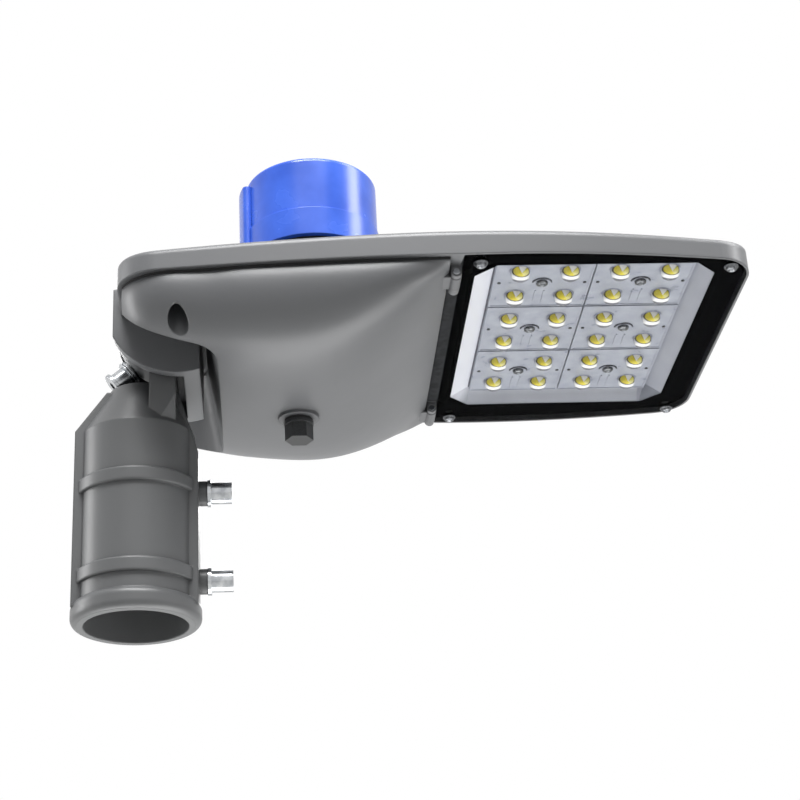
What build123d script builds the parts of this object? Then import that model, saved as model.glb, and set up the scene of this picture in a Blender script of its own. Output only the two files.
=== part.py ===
"""Street-light head: pole spigot, tilting die-cast head, hinged gear cover and twist-lock photocell.

Millimetres. The origin is the centre of the spigot's mouth, +Z points up the pole, +X to the head's tip.
"""
import os
from math import cos, pi, radians, sin

from build123d import *

# Pole spigot
bore_d = 61.0
spigot_wall = 3.9
bore_depth = 106.0
shoulder_z = 117.5
bead_proud = 3.6
bead_height = 13.0
bead_round = 4.5
ring_proud = 2.2
ring_height = 8.5
lower_ring_z = 26.5
upper_ring_z = 82.0
rib_proud = 2.0
rib_half_width = 15.0
neck_top_r = 20.0
neck_top_z = 147.0
neck_shift = 2.0
neck_front_x = 23.5
neck_back_x = 8.0
rib_top_z = 143.0
web_foot_z = 103.0
cable_hole_d = 9.0
cable_hole_x = 15.5

# Tilting knuckle
pivot_x = 25.0
pivot_z = 188.0
core_r = 30.5
shoe_thick = 7.5
cheek_r = 42.4
cheek_inner_y = 30.0
cheek_thick = 6.0
running_gap = 0.5
shoe_start_deg = 190.0
shoe_end_deg = 264.0
slot_start_deg = 196.0
slot_end_deg = 246.0
pocket_start_deg = 196.0
pocket_end_deg = 256.0
tilt_bolt_deg = 220.0
groove_start_deg = 166.0
groove_end_deg = 274.5

# Bolts and washers
bolt_d = 8.0
bolt_head_d = 13.0
set_bolt_head = 12.6
tilt_bolt_head = 9.0
bolt_socket = 6.0
bolt_socket_depth = 5.0
bolt_flange_d = 16.4
bolt_flange_thick = 2.2
washer_d = 17.5
washer_thick = 1.5
boss_d = 15.0
boss_len = 5.0
thread_gap = 0.05
thread_spare = 1.0
cross_long = 0.55
cross_wide = 0.14
cross_deep = 0.5

# Head plan and roof
rear_x = -8.5
tip_x = 363.0
parting_z = 178.0
parting_rise = 6.2
parting_front_x = 190.0
widest_x = 215.0
head_half_width = 117.0
rear_narrowing = 28.0
tip_narrowing = 13.2
rear_corner_r = 28.0
tip_corner_r = 24.0
rim_rear_height = 18.5
rim_tip_height = 12.0
roof_crown = 22.0
roof_peak_x = 109.0
roof_rear_reach = 150.0
roof_tip_reach = 480.0
roof_edge_round = 4.0
roof_overrun = 5.0
housing_wall = 4.0
rim_wall = 7.0

# Gear compartment and its cover
bay_front_x = 176.0
floor_thick = 4.0
floor_margin = 9.0
cover_inset = 3.0
cover_wall = 3.0
cover_gap = 1.6
cover_rear_x = -5.5
cover_front_x = 183.5
belly_rear_x = -8.5
belly_front_x = 187.5
belly_deepest_x = 98.0
belly_depth = 47.0
belly_fullness = 3.6
notch_front_x = 41.0
notch_front_flare = 0.2
notch_half_width = 46.5
notch_flare = 0.75
notch_splay = 0.25
notch_corner_r = 16.0
notch_clear = 2.8
gasket_crush = 0.15

# Cover hinge and captive screws
hinge_x = 187.5
hinge_z = 173.4
hinge_pin_d = 4.0
hinge_knuckle_r = 3.4
hinge_ear_r = 3.2
hinge_y = 92.5
hinge_knuckle_len = 14.0
hinge_ear_thick = 4.0
hinge_end_gap = 0.4
cover_screw_x = 28.0
cover_screw_y = 85.5
cover_screw_d = 5.0
counterbore_d = 12.0
counterbore_z = 172.0
cover_screw_head_d = 9.0
cover_screw_head = 4.0
hinge_arm = 14.0
hinge_arm_thick = 4.5
cover_screw_grip = 7.0
screw_swing = 1.1

# Vent plug in the belly
vent_x = 97.0
vent_boss_d = 25.0
vent_boss_proud = 2.0
vent_hex = 15.0
vent_head = 12.0
vent_thread_d = 12.0
vent_flange_d = 18.0
vent_boss_rise = 2.0
vent_nut_hex = 17.0
vent_nut_thick = 5.0
vent_seal_thick = 1.6

# Glass and LED chamber
glass_rear_x = 191.5
glass_thick = 4.0
glass_proud = 0.4
glass_edge_wall = 1.4
glass_edge_gap = 0.4
frit_thick = 0.3
glass_gasket_thick = 1.7
glass_gasket_width = 5.0
window_rear_x = 200.5
window_front_x = 343.5
window_half_width = 95.6
window_chamfer = 12.5
corner_share = 0.4
led_pitch = 30.0
led_center_x = 274.0
led_z = 192.0
board_thick = 1.6
board_margin = 2.0
board_corner = 3.0
chip_size = 3.6
chip_thick = 0.6
lens_plate = 2.2
lens_d = 11.5
lens_height = 7.2
lens_round = 3.4
lens_pad = 5.0
module_gap = 0.5
module_screw_d = 3.0
module_screw_head_d = 7.0
module_screw_head = 2.2
frame_sheet = 1.2
glass_screw_d = 4.0
glass_screw_head_d = 8.4
glass_screw_head = 3.0
glass_screw_rear = (201.5, 106.0)
glass_screw_front = (349.5, 98.0)
chamber_margin = 3.0
screw_grip = 6.0
module_grip = 3.0

# Gear inside the bay
driver_size = (90.0, 62.0, 32.0)
driver_center = (121.0, -20.0)
driver_top_z = 203.0
driver_tab = 9.0
driver_tab_y = 18.0
tab_thick = 3.0
terminal_size = (34.0, 20.0, 16.0)
terminal_center = (96.0, 66.0)
surge_size = (38.0, 26.0, 24.0)
surge_center = (146.0, 66.0)
terminal_hole_x = 12.0
surge_hole_x = 14.0
small_gear_top_z = 200.0
seat_boss_d = 9.0
gear_screw_d = 4.0
gear_screw_head_d = 6.6
gear_screw_head = 2.6
gear_corner_r = 3.0
terminal_pitch = 4.0
clamp_center = (84.0, 34.0)
clamp_span = 26.0
clamp_rise = 7.0

# Twist-lock photocell and its socket
photocell_x = 109.0
photocell_r = 42.0
photocell_bottom_z = 236.0
photocell_seam_z = 255.0
photocell_top_z = 292.0
photocell_wall = 2.6
photocell_round = 3.0
skirt_proud = 0.9
sensor_proud = 4.4
sensor_half_deg = 23.0
sensor_bottom_z = 241.0
sensor_top_z = 286.0
socket_pad_z = 219.5
socket_pad_r = 40.0
socket_pad_thick = 6.5
socket_flange_r = 38.0
socket_flange_thick = 5.0
socket_body_r = 30.5
socket_tail = 14.0
socket_gasket_thick = 1.5
photocell_gasket_thick = 2.0
photocell_base_thick = 4.0
contact_r = 17.0
contact_thick = 2.0
contact_arc_deg = 34.0
contact_depth = 11.0
twist_deg = 35.0
contact_slot = 3.6
contact_spare_deg = 4.0
socket_bore_r = 24.0
socket_screw_ring_r = 34.5

# Cooling ribs on the roof over the LEDs
fin_slots = 11
fin_pitch = 15.0
fin_slot_width = 8.0
fin_floor_z = 198.0
fin_rear_x = 214.0
fin_front_x = 338.0

# Worked out from the above
bore_r = bore_d / 2
tube_r = bore_r + spigot_wall
rib_r = tube_r + rib_proud
shoe_r = core_r + running_gap + shoe_thick
shoe_half = cheek_inner_y - running_gap
cheek_outer_y = cheek_inner_y + cheek_thick
floor_half_width = notch_half_width + notch_splay * (notch_front_x - rear_x) + floor_margin
glass_bottom_z = parting_z - glass_proud
glass_top_z = glass_bottom_z + glass_thick
chamber_ledge_z = glass_top_z + frit_thick + glass_gasket_thick
board_top_z = led_z + chip_thick / 2 + board_thick
cover_top_z = parting_z - cover_gap
lens_back_z = led_z - chip_thick / 2
tall = 60.0
overcut = 1.0
belly_bottom_z = parting_z - belly_depth
vent_face_z = belly_bottom_z - vent_boss_proud
vent_nut_z = belly_bottom_z + cover_wall + vent_boss_rise
vent_thread_len = vent_nut_z + vent_nut_thick + thread_spare - vent_face_z + vent_seal_thick
frame_foot_z = glass_top_z + 2 * frit_thick
chamber_knee_z = frame_foot_z + overcut
socket_top_z = photocell_bottom_z - photocell_gasket_thick
contact_starts = [turn - contact_arc_deg / 2 for turn in (60, 180, 300)]
boss_face_x = rib_r + boss_len
set_bolt_heights = (lower_ring_z, upper_ring_z)
bolt_reach = tilt_bolt_head + bolt_flange_thick + 2 * washer_thick + running_gap + boss_len
hinge_ear_offset = hinge_knuckle_len / 2 + hinge_end_gap + hinge_ear_thick / 2
hinge_ear_centres = (hinge_y - hinge_ear_offset, hinge_y + hinge_ear_offset)
hinge_pin_len = 2 * hinge_ear_offset + hinge_ear_thick
glass_screw_places = [(x, side * y) for x, y in (glass_screw_rear, glass_screw_front) for side in (-1, 1)]

UP = (Align.CENTER, Align.CENTER, Align.MIN)
DOWN = (Align.CENTER, Align.CENTER, Align.MAX)
pivot_plane = Plane(origin=(pivot_x, 0, pivot_z), x_dir=(1, 0, 0), z_dir=(0, -1, 0))
bolt_away = (cos(radians(tilt_bolt_deg)), 0, sin(radians(tilt_bolt_deg)))
bolt_shank = core_r / 2 + running_gap + shoe_thick
bolt_seat_r = shoe_r + running_gap
bolt_seat = Plane(origin=(pivot_x + bolt_seat_r * bolt_away[0], 0, pivot_z + bolt_seat_r * bolt_away[2]),
                  x_dir=(0, 1, 0), z_dir=bolt_away)
driver_reach = driver_size[0] / 2 + driver_tab / 2
driver_tabs = [(driver_center[0] + end * driver_reach, driver_center[1] + side * driver_tab_y)
               for end in (-1, 1) for side in (-1, 1)]
terminal_holes = [(terminal_center[0] + end * terminal_hole_x, terminal_center[1]) for end in (-1, 1)]
surge_holes = [(surge_center[0] + end * surge_hole_x, surge_center[1]) for end in (-1, 1)]
clamp_holes = [(clamp_center[0], clamp_center[1] + end * clamp_span / 2) for end in (-1, 1)]
gear_seats = ([(x, y, driver_top_z) for x, y in driver_tabs]
              + [(x, y, small_gear_top_z) for x, y in terminal_holes + surge_holes + clamp_holes])


def half_width(x):
    """Half the head's width at x: widest under the glass, narrowing to the rear and slightly to the tip."""
    if x < widest_x:
        return head_half_width - rear_narrowing * ((widest_x - x) / (widest_x - rear_x)) ** 1.55
    return head_half_width - tip_narrowing * ((x - widest_x) / (tip_x - widest_x)) ** 2


def rounded_half_width(x):
    """Half the head's width at x with the rounding of the rear corners taken off."""
    into = rear_corner_r - (x - rear_x)
    if into <= 0:
        return half_width(x)
    return half_width(x) - rear_corner_r + (rear_corner_r ** 2 - into ** 2) ** 0.5


def parting_at(x):
    """Height of the rim's lower edge, level along the glass and climbing towards the rear."""
    return parting_z + parting_rise * max(0.0, parting_front_x - x) / (parting_front_x - rear_x)


def rim_height(x):
    """Height of the rim band above the parting plane."""
    return rim_rear_height + (rim_tip_height - rim_rear_height) * (x - rear_x) / (tip_x - rear_x)


def crown(x):
    """Rise of the roof's middle above the rim's top edge."""
    reach = roof_rear_reach if x < roof_peak_x else roof_tip_reach
    return roof_crown * (1 - ((x - roof_peak_x) / reach) ** 2)


def belly(x):
    """Depth of the gear cover below the parting plane along its middle."""
    if x < belly_deepest_x:
        share = (belly_deepest_x - x) / (belly_deepest_x - belly_rear_x)
        return belly_depth * (1 - share ** 2) ** (1 / 3)
    share = (x - belly_deepest_x) / (belly_front_x - belly_deepest_x)
    return belly_depth * (1 - share ** 2)


def head_outline(inset, z):
    """Plan outline of the head, inset from its outer edge, as a sketch at height z."""
    first = rear_x + inset
    last = tip_x - inset
    stations = [first + (last - first) * share for share in (0, 0.15, 0.32, 0.5, 0.66, 0.82, 1)]
    with BuildSketch(Plane.XY.offset(z)) as outline:
        with BuildLine():
            left = Spline(*[(x, half_width(x) - inset) for x in stations])
            right = Spline(*[(x, inset - half_width(x)) for x in stations])
            Line(left @ 0, right @ 0)
            Line(left @ 1, right @ 1)
        make_face()
        fillet(outline.vertices().group_by(Axis.X)[-1], tip_corner_r - inset)
        fillet(outline.vertices().group_by(Axis.X)[0], rear_corner_r - inset)
    return outline.sketch


def roof_section(x, drop):
    """Cross-section of the head under its arched roof at x, with the roof lowered by drop."""
    side = half_width(x) + overcut
    edge = parting_z + rim_height(x) - drop
    with BuildSketch(Plane.YZ.offset(x)) as section:
        with BuildLine():
            arch = ThreePointArc((-side, edge), (0, edge + crown(x)), (side, edge))
            Polyline(arch @ 1, (side, parting_z - tall), (-side, parting_z - tall), arch @ 0)
        make_face()
    return section.sketch


def roof_form(drop):
    """Solid under the roof surface, longer than the head, used to trim what meets the roof."""
    first = rear_x - roof_overrun
    last = tip_x + roof_overrun
    with BuildPart() as form:
        loft([roof_section(first + (last - first) * share, drop)
              for share in (0, 0.15, 0.32, 0.5, 0.75, 1)])
    return form.part


def belly_section(x, inset):
    """Lower half of a full ellipse-like curve across the gear cover at x."""
    half = rounded_half_width(x) - cover_inset - inset
    top = parting_at(x) - cover_gap
    depth = top - (parting_z - belly(x)) - inset
    turns = [pi * step / 10 for step in range(11)]
    power = 2 / belly_fullness
    points = []
    for turn in turns:
        across = half * abs(cos(turn)) ** power * (1 if turn < pi / 2 else -1)
        points.append((across, top - depth * abs(sin(turn)) ** power))
    with BuildSketch(Plane.YZ.offset(x)) as section:
        with BuildLine():
            curve = Spline(*points)
            Line(curve @ 1, curve @ 0)
        make_face()
    return section.sketch


def belly_form(inset):
    """Closed pod with the gear cover's outer shape, drawn in by inset."""
    first = cover_rear_x + inset
    last = cover_front_x - 1.5 * inset
    with BuildPart() as form:
        loft([belly_section(first + (last - first) * share, inset)
              for share in (0, 0.02, 0.06, 0.12, 0.2, 0.34, 0.5, 0.66, 0.8, 0.92, 1)])
    return form.part


def knuckle_notch(grow):
    """Flared space in the gear cover that leaves room for the knuckle, grown outwards by grow."""
    back = cover_rear_x - tall / 2
    with BuildPart() as notch:
        sections = []
        for z in (parting_z + parting_rise + 2 * overcut, parting_z - tall):
            below = parting_z + 2 * overcut - z
            half = notch_half_width + notch_flare * below + grow
            front = notch_front_x + notch_front_flare * below + grow
            with BuildSketch(Plane.XY.offset(z), mode=Mode.PRIVATE) as level:
                rear_half = half + notch_splay * (front - back)
                with BuildLine():
                    Polyline((front, -half), (front, half), (back, rear_half), (back, -rear_half), close=True)
                make_face()
                fillet(level.vertices().group_by(Axis.X)[-1], notch_corner_r + grow)
            sections.append(level.sketch)
        loft(sections, ruled=True)
    return notch.part


def sector(inner, outer, start, end, half):
    """Block between two radii and two angles round the tilt pivot, half wide each side of the middle."""
    with BuildPart() as block:
        with BuildSketch(pivot_plane) as face:
            with BuildLine():
                out_arc = CenterArc((0, 0), outer, start, end - start)
                in_arc = CenterArc((0, 0), inner, start, end - start)
                Line(out_arc @ 0, in_arc @ 0)
                Line(out_arc @ 1, in_arc @ 1)
            make_face()
        extrude(amount=half, both=True)
    return block.part


def pivot_drum(radius, half):
    """Cylinder along the tilt axis."""
    with BuildPart() as drum:
        with BuildSketch(pivot_plane):
            Circle(radius)
        extrude(amount=half, both=True)
    return drum.part


def window_sketch(grow, z):
    """Clear window in the glass with cut corners, grown outwards by grow, at height z."""
    length = window_front_x - window_rear_x + 2 * grow
    with BuildSketch(Plane.XY.offset(z)) as window:
        with Locations(((window_front_x + window_rear_x) / 2, 0)):
            Rectangle(length, 2 * (window_half_width + grow))
        chamfer(window.vertices(), window_chamfer + corner_share * grow)
    return window.sketch


def flange_bolt(place, shank_len, head_len, flange_at):
    """Socket-head bolt standing along the plane's normal, with a flange at a height along its head."""
    with BuildPart() as bolt:
        with BuildSketch(place):
            Circle(bolt_head_d / 2)
        extrude(amount=head_len + bolt_flange_thick)
        with BuildSketch(place.offset(flange_at)):
            Circle(bolt_flange_d / 2)
        extrude(amount=bolt_flange_thick)
        with BuildSketch(place):
            Circle(bolt_d / 2)
        extrude(amount=-shank_len)
        with BuildSketch(place.offset(head_len + bolt_flange_thick)):
            RegularPolygon(bolt_socket / 2, 6, major_radius=False)
        extrude(amount=-bolt_socket_depth, mode=Mode.SUBTRACT)
    return bolt.part


def pan_screw(place, shank_d, shank_len, head_d, head):
    """Cross-recessed pan-head screw: the head stands along the plane's normal, the shank behind it."""
    with BuildPart() as screw:
        with BuildSketch(place):
            Circle(head_d / 2)
        extrude(amount=head)
        with BuildSketch(place):
            Circle(shank_d / 2)
        extrude(amount=-shank_len)
        with BuildSketch(place.offset(head)):
            Rectangle(cross_long * head_d, cross_wide * head_d)
            Rectangle(cross_wide * head_d, cross_long * head_d)
        extrude(amount=-cross_deep * head, mode=Mode.SUBTRACT)
    return screw.part


def lens_module(column, row):
    """Square lens plate with four lenses on its lower face and seating pads at its corners."""
    middle = (led_center_x + column * led_pitch, 2 * row * led_pitch)
    side = 2 * led_pitch - module_gap
    with BuildPart() as module:
        with BuildSketch(Plane.XY.offset(lens_back_z)):
            with Locations(middle):
                Rectangle(side, side)
                Circle(module_screw_d / 2 + thread_gap, mode=Mode.SUBTRACT)
        extrude(amount=-lens_plate)
        with BuildSketch(Plane.XY.offset(lens_back_z - lens_plate)):
            with Locations(middle):
                with GridLocations(led_pitch, led_pitch, 2, 2):
                    Circle(lens_d / 2)
        extrude(amount=-lens_height)
        fillet(module.edges().group_by(Axis.Z)[0], lens_round)
        with BuildSketch(Plane.XY.offset(lens_back_z)):
            with Locations(middle):
                with GridLocations(side - lens_pad, side - lens_pad, 2, 2):
                    Rectangle(lens_pad, lens_pad)
        extrude(amount=chip_thick)
    return module.part


def frame_top(grow):
    """Upper opening of the reflector frame, round the lens modules."""
    with BuildSketch(Plane.XY.offset(board_top_z - board_thick)) as opening:
        with Locations((led_center_x, 0)):
            Rectangle(4 * led_pitch + 2 * (running_gap + grow), 6 * led_pitch + 2 * (running_gap + grow))
        chamfer(opening.vertices(), corner_share * grow + overcut)
    return opening.sketch


def board_outline(grow, z):
    """LED board with cut corners, grown outwards by grow, at height z."""
    edge = 2 * (board_margin + grow)
    with BuildSketch(Plane.XY.offset(z)) as board:
        with Locations((led_center_x, 0)):
            Rectangle(4 * led_pitch + edge, 6 * led_pitch + edge)
        chamfer(board.vertices(), board_corner)
    return board.sketch


def facing_down(x, y, z):
    """Plane that faces down, for a screw driven from below."""
    return Plane(origin=(x, y, z), x_dir=(1, 0, 0), z_dir=(0, 0, -1))


def gear_screw(x, y, top_z):
    """Screw through a mounting tab of the gear, whose upper face is at top_z."""
    shank_len = tab_thick + screw_grip - thread_spare
    return pan_screw(facing_down(x, y, top_z - tab_thick), gear_screw_d, shank_len, gear_screw_head_d,
                     gear_screw_head)


def ring_arc(inner, outer, start, end, z):
    """Part of a ring round the photocell's axis, between two angles, as a sketch at height z."""
    with BuildSketch(Plane.XY.offset(z)) as arc:
        with BuildLine():
            out_arc = CenterArc((photocell_x, 0), outer, start, end - start)
            in_arc = CenterArc((photocell_x, 0), inner, start, end - start)
            Line(out_arc @ 0, in_arc @ 0)
            Line(out_arc @ 1, in_arc @ 1)
        make_face()
    return arc.sketch


os.makedirs("parts", exist_ok=True)


# Spigot casting
with BuildPart() as neck:
    with BuildSketch(Plane.XZ):
        with BuildLine():
            Polyline((neck_back_x, shoulder_z), (neck_front_x, shoulder_z),
                     (neck_front_x, pivot_z - core_r), (neck_back_x, pivot_z - core_r), close=True)
        make_face()
    extrude(amount=shoe_half, both=True)
    with Locations((0, 0, shoulder_z)):
        Cone(tube_r - rib_proud, tube_r + cheek_thick + bead_proud, pivot_z - core_r - shoulder_z,
             align=UP, mode=Mode.INTERSECT)

with BuildPart() as spigot_casting:
    with BuildSketch(Plane.XZ):
        with BuildLine():
            Polyline((-rib_r, bead_height - bead_round), (-rib_r, shoulder_z),
                     (neck_shift - neck_top_r, rib_top_z), (neck_front_x + rib_proud / 2, rib_top_z),
                     (rib_r, web_foot_z), (rib_r, bead_height - bead_round), close=True)
        make_face()
    extrude(amount=rib_half_width, both=True)
    Cylinder(tube_r, shoulder_z, align=UP)
    with BuildSketch(Plane.XY.offset(shoulder_z)):
        Circle(tube_r)
    with BuildSketch(Plane.XY.offset(neck_top_z)):
        with Locations((neck_shift, 0)):
            Circle(neck_top_r)
    loft()
    add(neck.part)
    add(sector(core_r + running_gap, shoe_r, shoe_start_deg, shoe_end_deg, shoe_half))
    with BuildSketch(Plane.XZ) as bead_face:
        with Locations(((tube_r + bead_proud + bore_r) / 2, bead_height / 2)):
            Rectangle(spigot_wall + bead_proud, bead_height)
        fillet(bead_face.vertices().group_by(Axis.X)[-1], bead_round)
    revolve(axis=Axis.Z)
    for ring_z in set_bolt_heights:
        with BuildSketch(Plane.XZ):
            with Locations((tube_r, ring_z)):
                RectangleRounded(2 * ring_proud, ring_height, ring_proud / 2)
        revolve(axis=Axis.Z)
        with BuildSketch(Plane.YZ.offset(tube_r - ring_proud)):
            with Locations((0, ring_z)):
                Circle(boss_d / 2)
        extrude(amount=boss_face_x - tube_r + ring_proud)
    Cylinder(bore_r, bore_depth, align=UP, mode=Mode.SUBTRACT)
    for ring_z in set_bolt_heights:
        with BuildSketch(Plane.YZ):
            with Locations((0, ring_z)):
                Circle(bolt_d / 2 + thread_gap)
        extrude(amount=boss_face_x + bead_proud, mode=Mode.SUBTRACT)
    add(pivot_drum(core_r + running_gap, cheek_outer_y), mode=Mode.SUBTRACT)
    add(sector(core_r / 2, shoe_r + ring_proud, slot_start_deg, slot_end_deg, bolt_d / 2 + running_gap),
        mode=Mode.SUBTRACT)
    add(sector(shoe_r, shoe_r + bolt_reach, pocket_start_deg, pocket_end_deg, washer_d / 2 + rib_proud),
        mode=Mode.SUBTRACT)
    with Locations((cable_hole_x, 0, bore_depth / 2)):
        Cylinder(cable_hole_d / 2, pivot_z - bore_depth, align=UP, mode=Mode.SUBTRACT)
spigot_casting.part.label = "spigot_casting"
export_step(spigot_casting.part, "parts/spigot_casting.step")

# Set bolts that grip the pole, kept back from the bore
with BuildPart() as set_bolts:
    for ring_z in set_bolt_heights:
        seat = Plane(origin=(boss_face_x, 0, ring_z), x_dir=(0, 1, 0), z_dir=(1, 0, 0))
        add(flange_bolt(seat, boss_face_x - bore_r - running_gap, set_bolt_head, 0.0))
set_bolts.part.label = "set_bolts"
export_step(set_bolts.part, "parts/set_bolts.step")

# Housing casting
with BuildPart() as knuckle_drum:
    add(pivot_drum(cheek_r, cheek_outer_y))
    add(roof_form(overcut), mode=Mode.INTERSECT)
    with Locations((notch_front_x - notch_clear, 0, parting_z + parting_rise)):
        Box(2 * cheek_r, 4 * cheek_r, 2 * cheek_r, align=(Align.MIN, Align.CENTER, Align.MAX),
            mode=Mode.SUBTRACT)

with BuildPart() as bay_space:
    extrude(head_outline(rim_wall, parting_z - overcut), amount=tall)
    add(roof_form(housing_wall), mode=Mode.INTERSECT)
    with Locations((bay_front_x, 0, parting_z)):
        Box(2 * tip_x, 4 * head_half_width, 4 * tall, align=(Align.MAX, Align.CENTER, Align.CENTER),
            mode=Mode.INTERSECT)

with BuildPart() as notch_floor:
    extrude(head_outline(cover_inset, parting_z), amount=parting_rise + floor_thick)
    with Locations((rear_x, 0, parting_z)):
        Box(notch_front_x + floor_margin - rear_x, 2 * floor_half_width, tall,
            align=(Align.MIN, Align.CENTER, Align.CENTER), mode=Mode.INTERSECT)

with BuildPart() as glass_space:
    extrude(head_outline(glass_edge_wall, parting_z - overcut),
            amount=chamber_ledge_z - parting_z + overcut)
    with Locations((glass_rear_x, 0, parting_z)):
        Box(2 * tip_x, 4 * head_half_width, 4 * tall, align=(Align.MIN, Align.CENTER, Align.CENTER),
            mode=Mode.INTERSECT)

with BuildPart() as seat_bosses:
    for x, y, seat_z in gear_seats:
        with Locations((x, y, seat_z)):
            Cylinder(seat_boss_d / 2, tall, align=UP)
    for side in (-1, 1):
        with Locations((cover_screw_x, side * cover_screw_y, parting_z)):
            Cylinder(counterbore_d / 2, tall, align=UP)
    add(roof_form(overcut), mode=Mode.INTERSECT)

with BuildPart() as housing_casting:
    extrude(head_outline(0, parting_z), amount=tall)
    add(roof_form(0), mode=Mode.INTERSECT)
    fillet(housing_casting.faces().sort_by(Axis.Z)[-1].edges(), roof_edge_round)
    add(bay_space.part, mode=Mode.SUBTRACT)
    add(notch_floor.part)
    add(seat_bosses.part)
    with BuildSketch(Plane.XZ):
        with BuildLine():
            Polyline((rear_x, parting_z - overcut), (parting_front_x, parting_z - overcut),
                     (parting_front_x, parting_z), (rear_x, parting_at(rear_x)), close=True)
        make_face()
    extrude(amount=2 * head_half_width, both=True, mode=Mode.SUBTRACT)
    add(knuckle_drum.part)
    add(sector(core_r, 3 * core_r, groove_start_deg, groove_end_deg, cheek_inner_y), mode=Mode.SUBTRACT)
    with BuildSketch(bolt_seat):
        Circle(bolt_d / 2 + thread_gap)
    extrude(amount=-bolt_shank, mode=Mode.SUBTRACT)
    with Locations((cable_hole_x, 0, pivot_z)):
        Cylinder(cable_hole_d / 2 + ring_proud, core_r + overcut, align=DOWN, mode=Mode.SUBTRACT)
        Box(2 * cheek_r, cable_hole_d, cable_hole_d, align=(Align.MIN, Align.CENTER, Align.MIN),
            mode=Mode.SUBTRACT)
    add(glass_space.part, mode=Mode.SUBTRACT)
    extrude(window_sketch(chamber_margin, parting_z), amount=chamber_knee_z - parting_z,
            mode=Mode.SUBTRACT)
    loft([window_sketch(chamber_margin, chamber_knee_z), board_outline(running_gap, board_top_z)],
         ruled=True, mode=Mode.SUBTRACT)
    with Locations(((fin_rear_x + fin_front_x) / 2, 0, fin_floor_z)):
        with GridLocations(1, fin_pitch, 1, fin_slots):
            Box(fin_front_x - fin_rear_x, fin_slot_width, tall, align=UP, mode=Mode.SUBTRACT)
    with Locations((photocell_x, 0, socket_pad_z)):
        Cylinder(socket_pad_r, socket_pad_thick, align=DOWN)
        Cylinder(socket_bore_r, tall, mode=Mode.SUBTRACT)
        with PolarLocations(socket_screw_ring_r, 3):
            Cylinder(gear_screw_d / 2 + thread_gap, 2 * screw_grip, mode=Mode.SUBTRACT)
    for side in (-1, 1):
        for ear_y in hinge_ear_centres:
            with BuildSketch(Plane.XZ.offset(-side * ear_y)):
                with Locations((hinge_x, hinge_z)):
                    Circle(hinge_ear_r)
                    Rectangle(2 * hinge_ear_r, parting_z - hinge_z + overcut,
                              align=(Align.CENTER, Align.MIN))
            extrude(amount=hinge_ear_thick / 2, both=True)
        with BuildSketch(Plane.XZ.offset(-side * hinge_y)):
            with Locations((hinge_x, hinge_z)):
                Circle(hinge_pin_d / 2)
        extrude(amount=hinge_pin_len / 2, both=True, mode=Mode.SUBTRACT)
        with Locations((cover_screw_x, side * cover_screw_y, parting_z)):
            Cylinder(cover_screw_d / 2 + screw_swing, parting_rise + cover_screw_grip + 2 * thread_spare,
                     align=UP, mode=Mode.SUBTRACT)
    for x, y, seat_z in gear_seats:
        with Locations((x, y, seat_z)):
            Cylinder(gear_screw_d / 2 + thread_gap, screw_grip, align=UP, mode=Mode.SUBTRACT)
    for x, y in glass_screw_places:
        with Locations((x, y, chamber_ledge_z)):
            Cylinder(glass_screw_d / 2 + thread_gap, screw_grip, align=UP, mode=Mode.SUBTRACT)
    with BuildSketch(Plane.XY.offset(board_top_z - board_thick)):
        with Locations((led_center_x, 0)):
            with GridLocations(2 * led_pitch, 2 * led_pitch, 2, 3):
                Circle(module_screw_d / 2 + thread_gap)
    extrude(amount=board_thick + module_grip, mode=Mode.SUBTRACT)
housing_casting.part.label = "housing_casting"
export_step(housing_casting.part, "parts/housing_casting.step")

# Tilt bolt with its washers, tightened through the slot in the shoe
with BuildPart() as tilt_bolt:
    washer_stack = 2 * washer_thick
    shank_len = bolt_shank + washer_stack - thread_spare
    add(flange_bolt(bolt_seat.offset(washer_stack), shank_len, tilt_bolt_head, tilt_bolt_head))
tilt_bolt.part.label = "tilt_bolt"
export_step(tilt_bolt.part, "parts/tilt_bolt.step")

with BuildPart() as tilt_washers:
    with BuildSketch(bolt_seat):
        Circle(washer_d / 2)
        Circle(bolt_d / 2 + thread_gap, mode=Mode.SUBTRACT)
    extrude(amount=2 * washer_thick)
    with BuildSketch(bolt_seat.offset(washer_thick)):
        Circle(washer_d / 2)
        Circle(washer_d / 2 - ring_proud / 2, mode=Mode.SUBTRACT)
    extrude(amount=running_gap, mode=Mode.SUBTRACT)
tilt_washers.part.label = "tilt_washers"
export_step(tilt_washers.part, "parts/tilt_washers.step")

# Gear cover: hollow pod with a flared notch for the knuckle
with BuildPart() as notch_wall:
    add(belly_form(0))
    add(knuckle_notch(cover_wall), mode=Mode.INTERSECT)

with BuildPart() as pod_shell:
    add(belly_form(0))
    add(belly_form(cover_wall), mode=Mode.SUBTRACT)
    add(notch_wall.part)
    add(knuckle_notch(0), mode=Mode.SUBTRACT)

with BuildPart() as cover_bosses:
    add(belly_form(0))
    with Locations(*[(cover_screw_x, side * cover_screw_y, cover_top_z) for side in (-1, 1)]):
        Cylinder(counterbore_d / 2 + cover_wall, 2 * tall, mode=Mode.INTERSECT)

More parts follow.
